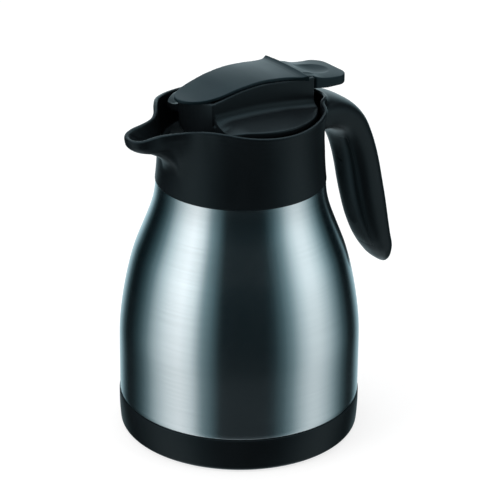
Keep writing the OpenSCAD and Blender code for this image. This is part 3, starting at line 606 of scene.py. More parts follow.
# ---------------------------------------------------------------- shapes shared by several pieces
class Shape:
    """The sizes in millimetres, and the heights and curves that follow from them."""

    def __init__(self):
        sizes = bpy.context.scene.carafe_sizes
        for key in CarafeSizes.__annotations__:
            setattr(self, key, getattr(sizes, key) / MM)

        # steel shell and collar
        self.step_radius = self.shell_radius - STEP_DEPTH
        self.shoulder_radius = self.neck_radius + self.ledge
        self.mouth_height = self.shoulder_height + NECK_HEIGHT
        self.mouth_radius = self.neck_radius - MOUTH_WIDTH
        self.collar_foot = self.shoulder_height + SEAT_GAP
        self.ring_height = self.mouth_height + RING_SEAT
        self.ring_lip = self.neck_radius - 2.5          # the collar's lip that holds the neck ring
        self.bowl_radius = self.neck_radius + 0.5       # inside of the collar above that lip

        # stopper
        self.window_top = self.ring_height + STOPPER_GASKET + STOPPER_WALL + POUR_WINDOW
        self.front_radius = self.flange_radius - 7.4    # rounded front of the cover
        self.upper_radius = self.front_radius - 2.4     # stopper's body inside that front
        self.cover_rear = self.front_radius + 2         # rear end of the cover's walls
        self.deck = self.flange_top(self.cover_half_width) - 2.4    # floor between the walls
        self.plate_tip = self.front_radius + 7.6
        self.ridge_x = self.cover_rear - 6
        self.plate_rear = self.ridge_x + 1
        self.plate_half_width = self.cover_half_width - 0.4

    # steel
    def shoulder(self, inset, n):
        """Outer face of the shell from the straight side up to the collar, moved in by inset."""
        w = self.shell_radius - self.shoulder_radius
        h = self.shoulder_height - self.side_height
        r, z = self.shoulder_radius, self.side_height
        middle = [r + 0.535 * w, z + 0.57 * h]
        lower = bezier([[self.shell_radius, z], [self.shell_radius, z + 0.085 * h],
                        [r + 0.83 * w, z + 0.385 * h], middle], n)
        upper = bezier([middle, [r + 0.165 * w, z + 0.79 * h], [r + 0.015 * w, z + 0.85 * h],
                        [r, self.shoulder_height]], n, last=True)
        return np.vstack([lower, upper]) - [inset, 0]

    # collar
    def rim(self, steps):
        """Outer edge of the rim from the spout's tip all the way round, and its outward direction in plan."""
        # the spout as [share of its reach, share of its half width, height above the rim's mean]
        spout = [[1, 0, -4.9], [0.968, 0.35, -4.9], [0.88, 0.67, -4.6], [0.76, 0.86, -4], [0.6, 0.95, -3.3],
                 [0.41, 1, -2.8], [0.2, 1.15, -2.5], [0.04, 1.34, -2.1], [-0.11, 1.69, -1.1]]
        # the notch at the handle as [angle, distance beyond the rim's circle, height above the mean]
        notch = [[50, 0, -0.5], [43, -0.8, 0.2], [37, -2.2, 0.7], [31.5, -2.4, 1], [26.5, -0.9, 0.9],
                 [20, 0.9, 0.3], [11, 2.1, -0.8], [0, 2.5, -1.4]]
        knots = [[-(self.rim_radius + self.spout_reach * a), self.spout_half_width * b, self.rim_height + c]
                 for a, b, c in spout]
        sides = [(a, 0, self.rim_wave * math.cos(2 * math.radians(a)) * (0.1 if a > 140 else 1))
                 for a in (148, 136, 121, 106, 90, 76, 62)]
        for a, out, up in sides + notch:
            a = math.radians(a)
            r = self.rim_radius + out
            knots.append([r * math.cos(a), r * math.sin(a), self.rim_height + up])
        half = curve_through(knots, steps)
        edge = np.vstack([half, half[-2:0:-1] * [1, -1, 1]])
        along = np.roll(edge, 1, axis=0) - np.roll(edge, -1, axis=0)
        outward = np.column_stack([along[:, 1], -along[:, 0]])
        return edge, outward / np.linalg.norm(outward, axis=1)[:, None]

    def tip_share(self, edge):
        """0 on the rim's circle, 1 from the middle of the spout to its tip."""
        return fade(-edge[:, 0] - self.rim_radius, 0.1 * self.spout_reach, 0.45 * self.spout_reach)

    def rim_inside(self, edge, outward):
        """Inner edge of the rim, which is thicker and a little higher at the spout's tip."""
        s = self.tip_share(edge)
        inside = edge.copy()
        inside[:, :2] -= outward * (self.collar_wall + 0.6 * s)[:, None]
        inside[:, 2] += 0.2 * s
        return inside

    def bowl_face(self, inside, v, grow=0.0):
        """Inner face of the collar at share v of its height."""
        r = np.hypot(inside[:, 0], inside[:, 1])
        a = np.arctan2(inside[:, 1], inside[:, 0])
        radius = self.bowl_radius + (r - self.bowl_radius) * v ** 0.8 + grow
        return np.column_stack([radius * np.cos(a), radius * np.sin(a),
                                self.ring_height + (inside[:, 2] - self.ring_height) * v])

    # handle
    def handle_path(self, steps):
        """Middle of the handle as [x, z, half thickness, half width], and its direction outwards."""
        # [distance beyond the rim, share of the length down, shares of the grip's thickness and width]
        knots = [[-9, 0.1, 0.97, 1.38], [-1, 0.1, 0.97, 1.35], [7, 0.115, 0.96, 1.24],
                 [15, 0.153, 0.96, 1.12], [21, 0.21, 0.97, 1.05], [25.2, 0.284, 0.97, 1.01],
                 [28.2, 0.36, 0.98, 1], [30.6, 0.44, 0.99, 1], [32.8, 0.53, 1, 1], [35.2, 0.62, 0.99, 0.99],
                 [37.7, 0.71, 0.94, 0.97], [40.6, 0.795, 0.84, 0.93], [42.8, 0.845, 0.76, 0.88],
                 [45, 0.888, 0.68, 0.82], [46.6, 0.924, 0.56, 0.72], [48.2, 0.955, 0.41, 0.57],
                 [49.4, 0.977, 0.24, 0.38], [50, 0.988, 0.05, 0.08]]
        widest = knots[0][3]
        root = self.handle_root_width / self.handle_width
        rows = []
        for out, down, thick, wide in knots:
            if wide > 1:
                wide = 1 + (wide - 1) * (root - 1) / (widest - 1)
            rows.append([self.rim_radius + out, self.rim_height - self.handle_length * down,
                         self.handle_thickness / 2 * thick, self.handle_width / 2 * wide])
        path = curve_through(rows, steps)
        along = np.gradient(path[:, :2], axis=0)
        out = np.column_stack([-along[:, 1], along[:, 0]])
        return path, out / np.linalg.norm(out, axis=1)[:, None]

    # stopper
    def flange_top(self, r):
        """Top of the flange at a radius, before it is tilted."""
        return self.flange_height + (self.flange_radius - r) * FLANGE_FALL

    def flange_surface(self, x, y):
        """Top of the tilted flange at a place."""
        return self.flange_top(np.hypot(x, y)) - x * math.sin(math.radians(FLANGE_TILT))

    def wall_y(self, x, inset):
        """Half the width across the cover's walls at x, inset from their outer face."""
        wider = 1.3
        spread = wider * (x + self.front_radius) / (self.front_radius + self.cover_rear)
        return self.cover_half_width + spread - inset

    def cover_plan(self, inset, rear):
        """Plan of the cover's walls and rounded front, inset from its outer face."""
        front_wall = 2.2
        radius = self.front_radius - (front_wall if inset > 0 else 0)
        x = -radius
        for _ in range(20):
            x = -math.sqrt(radius ** 2 - self.wall_y(x, inset) ** 2)
        corner = math.degrees(math.atan2(self.wall_y(x, inset), x))
        front = arc((0, 0), radius, 180, corner, 20)
        return mirrored(np.vstack([front, [[rear, self.wall_y(rear, inset)]]]))

    def plate_height_at(self, x):
        """Top of the top plate along its middle."""
        # [share of the reach to the tip (below 0) or to the rear, drop from the crown]
        knots = [[-1.02, 6.1], [-0.81, 5.4], [-0.556, 3.5], [-0.303, 1.3], [0, 0], [0.345, 0.3],
                 [0.69, 1.3], [1, 2.1]]
        p = curve_through(knots, 8)
        px = p[:, 0] * np.where(p[:, 0] < 0, self.plate_tip, self.plate_rear)
        return np.interp(x, px, self.plate_height - p[:, 1])

    def crown(self, y):
        """How far the top plate falls away from its middle towards its sides."""
        return 0.45 * np.minimum(np.abs(y) / self.plate_half_width, 1.3) ** 2

    def plate_outline(self, steps):
        """Plan of the top plate, from shares of its length and of its half width."""
        shares = [[0, 0], [0.016, 0.257], [0.055, 0.5], [0.111, 0.689], [0.184, 0.838], [0.287, 0.932],
                  [0.462, 0.98], [0.696, 1], [0.828, 1.02], [0.915, 1.108], [0.997, 1.304]]
        span = self.plate_tip + self.plate_rear
        return mirrored(curve_through([[a * span - self.plate_tip, b * self.plate_half_width]
                                       for a, b in shares], steps))


# ---------------------------------------------------------------- pieces
def steel_shell(s):
    """Brushed outer shell: rolled lower step, straight side, shoulder and the neck inside the collar."""
    t, low = SHEET, SHELL_FOOT
    step = s.base_height + SEAT_GAP
    neck, mouth = s.neck_radius, s.mouth_height
    groove = s.shoulder_height + 9.05
    groove_depth = edge = 0.6
    roll = [[s.shell_radius - inset, step + up]
            for inset, up in ((0.75, 0), (0.35, 0.12), (0.1, 0.4), (0, 0.85))]
    face = np.vstack([[[s.step_radius, low], [s.step_radius, step]], roll, blended_side(s, step + 3),
                      [[neck, s.shoulder_height], [neck, groove - 1.2], [neck - groove_depth, groove - 0.8],
                       [neck - groove_depth, groove + 0.8], [neck, groove + 1.2], [neck, mouth - edge],
                       [neck - edge, mouth], [s.mouth_radius, mouth]]])
    back = np.vstack([[[s.mouth_radius, mouth - t], [neck - edge - t, mouth - t],
                       [neck - edge - t, s.shoulder_height - t]], s.shoulder(t, 12)[-2::-1],
                      [[s.shell_radius - t, step + 1.4], [s.step_radius - t, step + 0.7],
                       [s.step_radius - t, low]]])
    return lathe(np.vstack([face, back]), 256)


def blended_side(s, low):
    """Straight side and shoulder of the shell, with the bend between them eased for the gloss."""
    rows, easing, bend = 40, 7, 20
    curve = s.shoulder(0, 60)
    z = np.linspace(low, s.shoulder_height, 150)
    r = np.interp(z, curve[:, 1], curve[:, 0])
    spread = np.exp(-(np.arange(-rows, rows + 1) * (z[1] - z[0]) / easing) ** 2)
    eased = np.convolve(np.pad(r, rows, mode="edge"), spread / spread.sum(), mode="valid")
    near_bend = np.exp(-((z - s.side_height) / bend) ** 4)
    return np.column_stack([r + near_bend * (eased - r), z])


def base_shell(s):
    """Base cover with its rounded lower edge and the recess for the foot pad."""
    low, recess, floor, ledge = 0.3, 1.5, 2.7, 4.7
    r, h = s.base_radius, s.base_height
    recess_radius = 56.1
    lower_edge, upper_edge, wall = 2.6, 0.5, 1.6
    outline = np.vstack([[[0, recess], [recess_radius, recess], [recess_radius, low]],
                         arc((r - 3.2, low + lower_edge), lower_edge, -90, 0, 12),
                         bezier([[r - 0.6, 2.9], [r - 0.35, 0.3 * h], [r, 0.5 * h], [r, 0.8 * h]], 10)[1:],
                         arc((r - upper_edge, h - upper_edge), upper_edge, 0, 90, 5),
                         [[r - wall, h], [r - wall, ledge], [r - 3.6, floor], [0, floor]]])
    return lathe(outline, 256)


def collar_and_handle(s):
    """Collar with its wavy rim and rolled spout, and the hollow-backed handle, melted into one moulding."""
    edge, outward = s.rim(7)
    inside = s.rim_inside(edge, outward)
    # the spout's underside and rolled lip as [share of the collar's height, share of the reach]
    lip = curve_through([[0, 0], [0.28, 0], [0.42, 0.05], [0.53, 0.14], [0.64, 0.31], [0.72, 0.49],
                         [0.775, 0.66], [0.805, 0.83], [0.85, 0.945], [0.905, 1], [1, 1]], 6)
    tip = s.tip_share(edge)
    tip = tip * tip * (3 - 2 * tip)
    r = np.hypot(edge[:, 0], edge[:, 1])
    a = np.arctan2(edge[:, 1], edge[:, 0])
    waist = bezier([s.shoulder_radius + 0.3, s.rim_radius - 2.1, s.rim_radius - 2.4, s.rim_radius], 101, True)
    rows = []
    for u in np.linspace(0, 1, 44):
        flare = fade(u, 0.38, 0.55) ** 1.65
        out = flare * (1 - tip) + np.interp(u, lip[:, 0], lip[:, 1]) * tip
        radius = waist[round(u * 100)] + (r - s.rim_radius) * out
        rows.append(np.column_stack([radius * np.cos(a), radius * np.sin(a),
                                     s.collar_foot + (edge[:, 2] - s.collar_foot) * u]))
    for f in (0.15, 0.32, 0.5, 0.68, 0.85):
        rows.append(edge + (inside - edge) * f + [0, 0, 0.7 * math.sin(math.pi * f)])
    for v in np.linspace(1, 0, 20):
        rows.append(s.bowl_face(inside, v))
    turn = np.arctan2(inside[:, 1], inside[:, 0])
    neck, over_mouth = s.neck_radius + 0.2, s.mouth_height + 2
    for r, z in ((s.ring_lip, s.ring_height), (s.ring_lip, over_mouth), (neck, over_mouth),
                 (neck, s.collar_foot)):
        rows.append(np.column_stack([r * np.cos(turn), r * np.sin(turn), 0 * turn + z]))
    collar = skin(np.array(rows).transpose(1, 0, 2), loop=True)

    around = 64
    path, out = s.handle_path(HANDLE_STEPS)
    turn = np.radians(np.arange(around) * 360 / around)
    c, d = np.cos(turn), np.sin(turn)
    c, d = np.sign(c) * np.abs(c) ** SQUARENESS, np.sign(d) * np.abs(d) ** SQUARENESS
    grip = skin([np.column_stack([x + n[0] * thick * c, wide * d, z + n[1] * thick * c])
                 for (x, z, thick, wide), n in zip(path, out)])
    # the collar's inside, a little wider, from below its lip to above its rim
    levels, wider = (0, 0, 0.26, 0.54, 0.8, 1, 1), 0.8
    bowl = [s.bowl_face(inside, v, wider) for v in levels]
    bowl[0][:, 2] = s.ring_height - 10
    bowl[-1][:, 2] = s.rim_height + 30
    slot_depth = 3.0
    slot = skin([slot_ring(path[i], out[i], -path[i][2] - 2, slot_depth - path[i][2], insert_half(path[i]))
                 for i in INSERT_ROWS])
    cut(grip, skin(np.array(bowl)))
    body = soften(together(collar, grip), s.grain, 4)

    def root(co):
        """1 round the handle's root, 0 elsewhere."""
        x, y, z = co.T
        outside = fade(np.hypot(x, y) - s.bowl_radius, 1.5, 1.5)
        return fade(x, 36, 4) * fade(58 - x, 0, 6) * outside * fade(z, 142, 6)

    return cut(fill_hollows(body, root, 50), slot)


def slot_ring(row, n, first, last, half):
    """Square ring across the handle between two distances, half wide."""
    x, z = row[:2]
    return [[x + n[0] * a, y, z + n[1] * a]
            for a, y in ((first, -half), (first, half), (last, half), (last, -half))]


def insert_half(row):
    """Half the width of the opening for the insert, between the handle's side walls."""
    side_wall = 3.6
    return row[3] - side_wall


def handle_cover(s):
    """Insert that closes the handle's inner side and follows its curve, with softened edges."""
    path, out = s.handle_path(HANDLE_STEPS)
    rings = []
    thickness, edge_drop = 2.4, 0.12
    shares = np.linspace(-1, 1, 25)
    for i in INSERT_ROWS:
        x, z, thick, wide = path[i]
        half = insert_half(path[i]) - SEAT_GAP
        across = shares * half
        face = -thick * (1 - (np.abs(across) / wide) ** (2 / SQUARENESS)) ** (SQUARENESS / 2)
        face += edge_drop * fade(np.abs(shares), 0.93, 0.07) ** 2
        pull = SEAT_GAP if i == INSERT_ROWS[0] else -SEAT_GAP if i == INSERT_ROWS[-1] else 0
        x, z = x + out[i][1] * pull, z - out[i][0] * pull
        ring = [[x + out[i][0] * f, y, z + out[i][1] * f] for f, y in zip(face, across)]
        back = thickness - thick
        ring += [[x + out[i][0] * back, y, z + out[i][1] * back] for y in (half, -half)]
        rings.append(ring)
    cover = skin(rings)
    plug_depth, plug_radius = 1.05, 3.15
    for i in SCREW_ROWS:
        x, z, thick = path[i][:3]
        centre = np.array([x - out[i][0] * thick, 0, z - out[i][1] * thick])
        n = np.array([out[i][0], 0, out[i][1]])
        cut(cover, rod(centre - n * 3, centre + n * plug_depth, plug_radius))
    return cover


def stopper_top(s):
    """Cover of the stopper: walls and front under the top plate, hollow crease and tilted flange."""
    t = STOPPER_WALL
    below, tall = 100, 300
    stem_hole, rim = 3, s.front_radius - 0.2
    skirt = lathe([[s.upper_radius + SEAT_GAP, s.window_top], [s.front_radius, s.window_top],
                   [s.front_radius, s.deck], [s.upper_radius + SEAT_GAP, s.deck]], 128)
    deck = lathe([[stem_hole, s.deck - t], [rim, s.deck - t], [rim, s.deck], [stem_hole, s.deck]], 128)
    x = np.linspace(-s.plate_tip - 2, s.cover_rear + 6, 60)
    y = np.linspace(-24, 24, 33)
    under = slab(x, y, lambda gx, gy: s.plate_height_at(gx) - t + 0.05 - s.crown(gy),
                 lambda gx, gy: 0 * gx + below)
    walls = prism(s.cover_plan(0, s.cover_rear), s.deck - 1, s.deck + 40)
    cut(walls, prism(s.cover_plan(t, s.cover_rear + 5), s.deck - 5, s.deck + 60))
    within(walls, under)

    tilt = (Matrix.Translation((0, 0, s.flange_height))
            @ Matrix.Rotation(math.radians(FLANGE_TILT), 4, "Y")
            @ Matrix.Translation((0, 0, -s.flange_height)))
    edge, top = s.flange_radius, s.flange_height
    foot = top - FLANGE_SKIRT
    inner, middle = 12, s.front_radius / 2
    rounding = 0.9
    rounded = arc((edge - rounding, top - rounding), rounding, 0, 80, 6)
    flange = moved(lathe(np.vstack([
        [[s.upper_radius, s.flange_top(s.upper_radius) - t], [edge - t, top - t], [edge - t, foot],
         [edge - 0.5, foot], [edge, foot + 0.6]], rounded,
        [[inner, s.flange_top(inner)], [inner, s.flange_top(inner) - t]]]), 192), tilt)
    within(flange, prism(flange_plan(s, 0), below, tall))
    ends = moved(lathe(np.vstack([[[middle, foot], [edge - 0.5, foot], [edge, foot + 0.6]], rounded,
                                  [[middle, s.flange_top(middle)]]]), 192), tilt)
    within(ends, prism(flange_plan(s, 0), below, tall))
    cut(ends, prism(flange_plan(s, t), below - 10, tall + 1))
    within(ends, prism([[-50, -60], [0, -60], [0, 60], [-50, 60]], below, tall))
    for part in (flange, ends):
        cut(part, prism(s.cover_plan(0.9, s.cover_rear + 10), 150, 260))

    out = np.linspace(0, 1, 14) ** 1.6 * CREASE
    rise = CREASE * (1 - np.sqrt(1 - (1 - out / CREASE) ** 2))
    creases = []
    for side in (1, -1):
        rings = []
        for x in np.linspace(-FLANGE_FRONT, s.cover_rear, 40):
            y = s.wall_y(x, 0) + out
            base = s.flange_surface(x, y)
            hollow = np.column_stack([0 * y + x, side * y, base + rise - 0.02])
            sunk = [[x, side * y[-1], base[-1] - 0.9], [x, side * (y[0] - 1), base[0] - 0.9],
                    [x, side * (y[0] - 1), base[0] + CREASE]]
            rings.append(np.vstack([hollow, sunk]))
        creases.append(skin(rings))
    rear = s.cover_rear
    half = s.wall_y(rear, 0.5)
    sill = prism([[rear - t, -half], [rear, -half], [rear, half], [rear - t, half]], s.deck - 1, s.deck + 2)
    at_pin = s.wall_y(s.pin_x, t)
    bosses = [rod((s.pin_x, side * (at_pin + 0.6), s.pin_height),
                  (s.pin_x, side * (at_pin - 3), s.pin_height), 3.0) for side in (1, -1)]
    cover = soften(together(skirt, deck, walls, flange, ends, *creases, sill, *bosses), s.grain * 0.8, 3)

    # the flange's front corners hang lower than its slope
    co = mesh_points(cover.data)
    most = 1.7
    droop = fade(-co[:, 0], 17, 9) ** 2 * fade(np.abs(co[:, 1]), 16.5, 7)
    co[:, 2] -= most * droop * fade(183 - co[:, 2], 0, 2)
    cover.data.vertices.foreach_set("co", co.ravel())
    cover.data.update()
    return cover


def flange_plan(s, inset):
    """Plan of the flange: cut off in front with rounded corners."""
    q, front, far = 6.5, FLANGE_FRONT, 60
    y = math.sqrt((s.flange_radius - q) ** 2 - (front - q) ** 2)
    corner = arc((q - front, y), q, 180, math.degrees(math.atan2(y, q - front)), 8) + [inset, 0]
    return mirrored(np.vstack([corner, [[-front + 1, far], [far, far]]]))


def top_leaf(s):
    """Top plate: a domed leaf with a fine raised ridge across its rear."""
    x = np.concatenate([np.linspace(-s.plate_tip - 1, s.ridge_x - 4.5, 80),
                        np.linspace(s.ridge_x - 4, s.plate_rear, 30)])
    y = np.linspace(-22, 22, 61)

    def top(gx, gy):
        ridge = np.interp(gx, [s.ridge_x - 4.5, s.ridge_x - 2.4, s.ridge_x - 1, s.ridge_x, s.ridge_x + 0.35,
                               s.plate_rear], [0, 0.16, 0.55, 1.12, 1.12, 0.2])
        return s.plate_height_at(gx) + ridge - s.crown(gy)

    def bottom(gx, gy):
        return s.plate_height_at(gx) - s.plate_thickness + 0.02 - s.crown(gy)

    leaf = within(prism(s.plate_outline(6), 150, 250), slab(x, y, top, bottom))
    return soften(leaf, s.grain * 0.7, 6)


def thumb_rest(s):
    """Thumb lever: scooped pad, neck through the cover's rear, hub on the pin and fork to the valve."""
    pin_x, z, rear = s.pin_x, s.pin_height, s.cover_rear
    front = rear + PAD_GAP
    half = s.pad_width / 2
    top = curve_through([[rear - 3.6, z + 6.2], [rear + 1.5, z + 5], [rear + 6, z + 3.4],
                         [rear + 12, z + 2.2], [rear + 18, z + 1.5], [s.pad_end, z + 0.9]], 8)
    corner = 8
    low = z + 2.4 - s.pad_thickness
    outline = np.vstack([[[front, half - 1], [front + 1, half]],
                         arc((s.pad_end - corner, half - corner), corner, 90, 0, 12)])
    underside = [[s.pad_end, z + 1 - s.pad_thickness], [front + 8, z + 1.2 - s.pad_thickness],
                 [front, low], [rear - 3.6, low]]
    pad = within(prism(mirrored(outline), 100, 300),
                 prism(np.vstack([top, underside]), -50, 50, "Y"))
    neck_half = 10
    neck = prism(np.vstack([[[pin_x - 2, z - 1.8], [pin_x - 2, z + 2.4], [rear - 8, z + 3]],
                            top[top[:, 0] < front + 3], [[front + 3, low], [rear - 8, z - 2.2]]]),
                 -neck_half, neck_half, "Y")

    ramp_half = s.wall_y(rear, STOPPER_WALL) - 0.5

    def middle(gx):
        """Height of the lever's top along its middle."""
        return np.interp(gx, top[:, 0], top[:, 1])

    def fall(gy, side):
        """How far the top has fallen away at gy, where side is the distance of its edge."""
        return 0.9 * np.abs(gy / side) ** 3

    def ramp_top(gx, gy):
        return middle(gx) - fall(gy, ramp_half)

    def pad_top(gx, gy):
        return middle(gx) - fall(gy, half) * fade(s.pad_end - gx, 0, 16)

    x = np.linspace(rear - 3.6, front + 4, 24)
    y = np.linspace(-ramp_half, ramp_half, 41)
    ramp = slab(x, y, ramp_top, lambda gx, gy: 0 * gx + z + 2.6)
    x = np.linspace(front - 1, s.pad_end + 1, 60)
    y = np.linspace(-half - 1, half + 1, 61)
    within(pad, slab(x, y, pad_top, lambda gx, gy: 0 * gx + 100))
    scoop_radius, scoop_place = 24, (rear + 14, 0, z + 24.7)
    for part in (pad, neck, ramp):
        cut(part, ball(scoop_place, scoop_radius))
    hub_half, hub_radius = s.wall_y(pin_x, STOPPER_WALL) - 3.4, 3.2
    hub = rod((pin_x, -hub_half, z), (pin_x, hub_half, z), hub_radius)
    arm_half, fork_half, arm_end = 8, 2.5, -6
    arm = prism([[arm_end, -arm_half], [pin_x, -arm_half], [pin_x, arm_half], [arm_end, arm_half],
                 [arm_end, fork_half]] + arc((0, 0), fork_half, 90, -90, 16).tolist()
                + [[arm_end, -fork_half]], z - 1.6, z + 2)
    pad = soften(together(pad, neck, ramp, hub, arm), s.grain * 0.8, 5)
    pin_hole = 1.58
    return cut(pad, rod((pin_x, -30, z), (pin_x, 30, z), pin_hole))


def ball(centre, radius, around=96):
    """Sphere as a solid of revolution, moved to its centre."""
    half = arc((0, 0), radius, -90, 90, around // 2)
    half[[0, -1], 0] = 0
    return moved(lathe(half, around), Matrix.Translation(centre))


def coil(s):
    """Wire spring that presses the valve's disc down."""
    turns, steps, wire, radius = 7, 32, 0.5, 4.4
    low, high = 142.1, 168.5
    evenness = 14       # the lower, the closer the turns lie at both ends
    rings = []
    for i in range(turns * steps + 1):
        a, f = 2 * math.pi * i / steps, i / (turns * steps)
        z = low + (high - low) * (f - math.sin(2 * math.pi * f) / evenness)
        ring = []
        for b in np.radians(np.arange(12) * 30):
            r = radius + wire * math.cos(b)
            ring.append([r * math.cos(a), r * math.sin(a), z + wire * math.sin(b)])
        rings.append(ring)
    return skin(rings)


# ---------------------------------------------------------------- operators
class PieceOperator:
    """Makes one piece of the carafe and keeps it. Sharp is the least angle of its sharp edges, 0 for none."""
    bl_options = {"REGISTER", "UNDO"}
    shape, piece_name, slot, body, nodes, sharp = None, "", "", "", (), 40

    def execute(self, context):
        piece = keep(type(self).shape(Shape()), self.piece_name, finish_for(self.slot), self.body,
                     self.nodes, self.sharp)
        self.after(piece)
        return {"FINISHED"}

    def after(self, piece):
        """What else the piece needs once it is kept."""


class CARAFE_OT_steel(PieceOperator, bpy.types.Operator):
    """Turn the brushed steel shell"""
    bl_idname = "carafe.steel"
    bl_label = "Steel shell"
    shape, piece_name, slot, body = steel_shell, "steel_body", "steel", "vessel"
    nodes, sharp = ("outer_shell",), 30


class CARAFE_OT_base(PieceOperator, bpy.types.Operator):
    """Turn the black base cover"""
    bl_idname = "carafe.base"
    bl_label = "Base cover"
    shape, piece_name, slot, body = base_shell, "base_shell", "black_plastic", "vessel"
    nodes = ("base_cover",)


class CARAFE_OT_collar(PieceOperator, bpy.types.Operator):
    """Mould the collar with spout and handle"""
    bl_idname = "carafe.collar"
    bl_label = "Collar and handle"
    shape, piece_name, slot, body = collar_and_handle, "collar_spout_handle", "black_plastic", "vessel"
    nodes, sharp = ("collar_and_handle",), 0


class CARAFE_OT_insert(PieceOperator, bpy.types.Operator):
    """Mould the insert on the handle's inner side"""
    bl_idname = "carafe.insert"
    bl_label = "Handle insert"
    shape, piece_name, slot, body = handle_cover, "handle_inner_cover", "black_plastic", "vessel"
    nodes = ("handle_insert",)


class CARAFE_OT_cover(PieceOperator, bpy.types.Operator):
    """Mould the stopper's cover"""
    bl_idname = "carafe.cover"
    bl_label = "Stopper cover"
    shape, piece_name, slot, body = stopper_top, "stopper_top", "black_plastic", "stopper"
    nodes, sharp = ("stopper_cover",), 0


class CARAFE_OT_leaf(PieceOperator, bpy.types.Operator):
    """Mould the top plate"""
    bl_idname = "carafe.leaf"
    bl_label = "Top plate"
    shape, piece_name, slot, body = top_leaf, "leaf_plate", "satin_plastic", "stopper"
    nodes, sharp = ("top_plate",), 0


class CARAFE_OT_lever(PieceOperator, bpy.types.Operator):
    """Mould the thumb lever"""
    bl_idname = "carafe.lever"
    bl_label = "Thumb lever"
    shape, piece_name, slot, body = thumb_rest, "thumb_pad", "satin_plastic", "lever"
    nodes, sharp = ("thumb_lever",), 50


class CARAFE_OT_spring(PieceOperator, bpy.types.Operator):
    """Wind the valve's spring"""
    bl_idname = "carafe.spring"
    bl_label = "Valve spring"
    shape, piece_name, slot, body = coil, "disc_spring", "fastener", "valve"
    nodes, sharp = ("valve_spring",), 0

    def after(self, piece):
        """Gives the spring a mesh of its own; it rides with the valve."""
        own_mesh(piece)


class CARAFE_OT_inner(bpy.types.Operator):
    """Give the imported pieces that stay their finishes"""
    bl_idname = "carafe.inner"
    bl_label = "Packed pieces"
    bl_options = {"REGISTER", "UNDO"}

    def execute(self, context):
        crease_angle = 35
        slots = {row["node"]: row["material_slot"] for row in frame["record"]["subparts"]}
        for name, node in frame["nodes"].items():
            if node.hide_render:
                continue
            node.data.shade_smooth()
            node.data.set_sharp_from_angle(angle=math.radians(crease_angle))
            if not node.material_slots:
                node.data.materials.append(None)
            for place in node.material_slots:
                place.material = finish_for(slots[name])
        return {"FINISHED"}


# ---------------------------------------------------------------- studio
CAMERA_PLACE = (-0.6608, -0.9437, 0.6210)
CAMERA_AHEAD = (0.5256, 0.7434, -0.4137)
CAMERA_ROLL = 0.01097   # radians
CAMERA_SIDE = 234.7     # direction of the camera seen from the carafe, in degrees round Z
TENT_RADIUS = 4.0
FLOOR_HALF = 6.0
FLOOR_LEVEL = -0.0003   # just under the foot, so that they don't share a plane


def calculate(tree, operation, *values):
    """Output of a math node on numbers and other nodes' outputs."""
    node = tree.nodes.new("ShaderNodeMath")
    node.operation = operation
    for socket, value in zip(node.inputs, values):
        if isinstance(value, (int, float)):
            socket.default_value = value
        else:
            tree.links.new(value, socket)
    return node.outputs[0]


def studio_nodes(tree):
    """1 for rays that see the surroundings themselves: from the camera, a mirror or glass."""
    path = tree.nodes.new("ShaderNodeLightPath")
    first = calculate(tree, "ADD", path.outputs["Is Camera Ray"], path.outputs["Is Glossy Ray"])
    total = calculate(tree, "ADD", first, path.outputs["Is Transmission Ray"])
    total.node.use_clamp = True
    return total


def floor_finish():
    """White to the camera with the object's soft shadow on it, pale to the light that it bounces."""
    material = bpy.data.materials.new("studio_floor")
    material.use_nodes = True
    tree = material.node_tree
    tree.nodes.clear()
    plain = tree.nodes.new("ShaderNodeBsdfDiffuse")
    plain.inputs["Color"].default_value = (0.8, 0.8, 0.8, 1)
    grey = tree.nodes.new("ShaderNodeBsdfDiffuse")
    grey.inputs["Color"].default_value = (0.4, 0.4, 0.4, 1)
    glow = tree.nodes.new("ShaderNodeEmission")
    glow.inputs["Strength"].default_value = 0.72
    both = tree.nodes.new("ShaderNodeAddShader")
    tree.links.new(grey.outputs[0], both.inputs[0])
    tree.links.new(glow.outputs[0], both.inputs[1])
    mix = tree.nodes.new("ShaderNodeMixShader")
    tree.links.new(studio_nodes(tree), mix.inputs[0])
    tree.links.new(plain.outputs[0], mix.inputs[1])
    tree.links.new(both.outputs[0], mix.inputs[2])
    end = tree.nodes.new("ShaderNodeOutputMaterial")
    tree.links.new(mix.outputs[0], end.inputs["Surface"])
    return material


def room_light(strength):
    """Plain light from all round, which the camera and mirrors see as white."""
    world = bpy.data.worlds.new("studio_room")
    world.use_nodes = True
    tree = world.node_tree
    tree.nodes.clear()
    level = tree.nodes.new("ShaderNodeMapRange")
    level.inputs["To Min"].default_value = strength
    level.inputs["To Max"].default_value = 1.0
    tree.links.new(studio_nodes(tree), level.inputs["Value"])
    sky = tree.nodes.new("ShaderNodeBackground")
    sky.inputs["Color"].default_value = (1, 1, 1, 1)
    tree.links.new(level.outputs[0], sky.inputs["Strength"])
    end = tree.nodes.new("ShaderNodeOutputWorld")
    tree.links.new(sky.outputs[0], end.inputs["Surface"])
    bpy.context.scene.world = world


def softbox(name, place, aim, size, power):
    """Large soft lamp that points at aim."""
    lamp = bpy.data.lights.new(name, "AREA")
    lamp.shape = "RECTANGLE"
    lamp.size, lamp.size_y = size
    lamp.energy = power
    lamp.spread = math.pi
    item = bpy.data.objects.new(name, lamp)
    bpy.context.scene.collection.objects.link(item)
    item.location = place
    item.visible_glossy = False
    item.rotation_euler = (Vector(aim) - Vector(place)).to_track_quat("-Z", "Y").to_euler()


FAR = (0.77, 0.94, 1)       # tint of the wall behind the carafe
COOL = (1.3, 1.05, 1)       # power for each channel, which makes dim parts cooler
GLOW_TINT = (0.86, 0.95, 1)

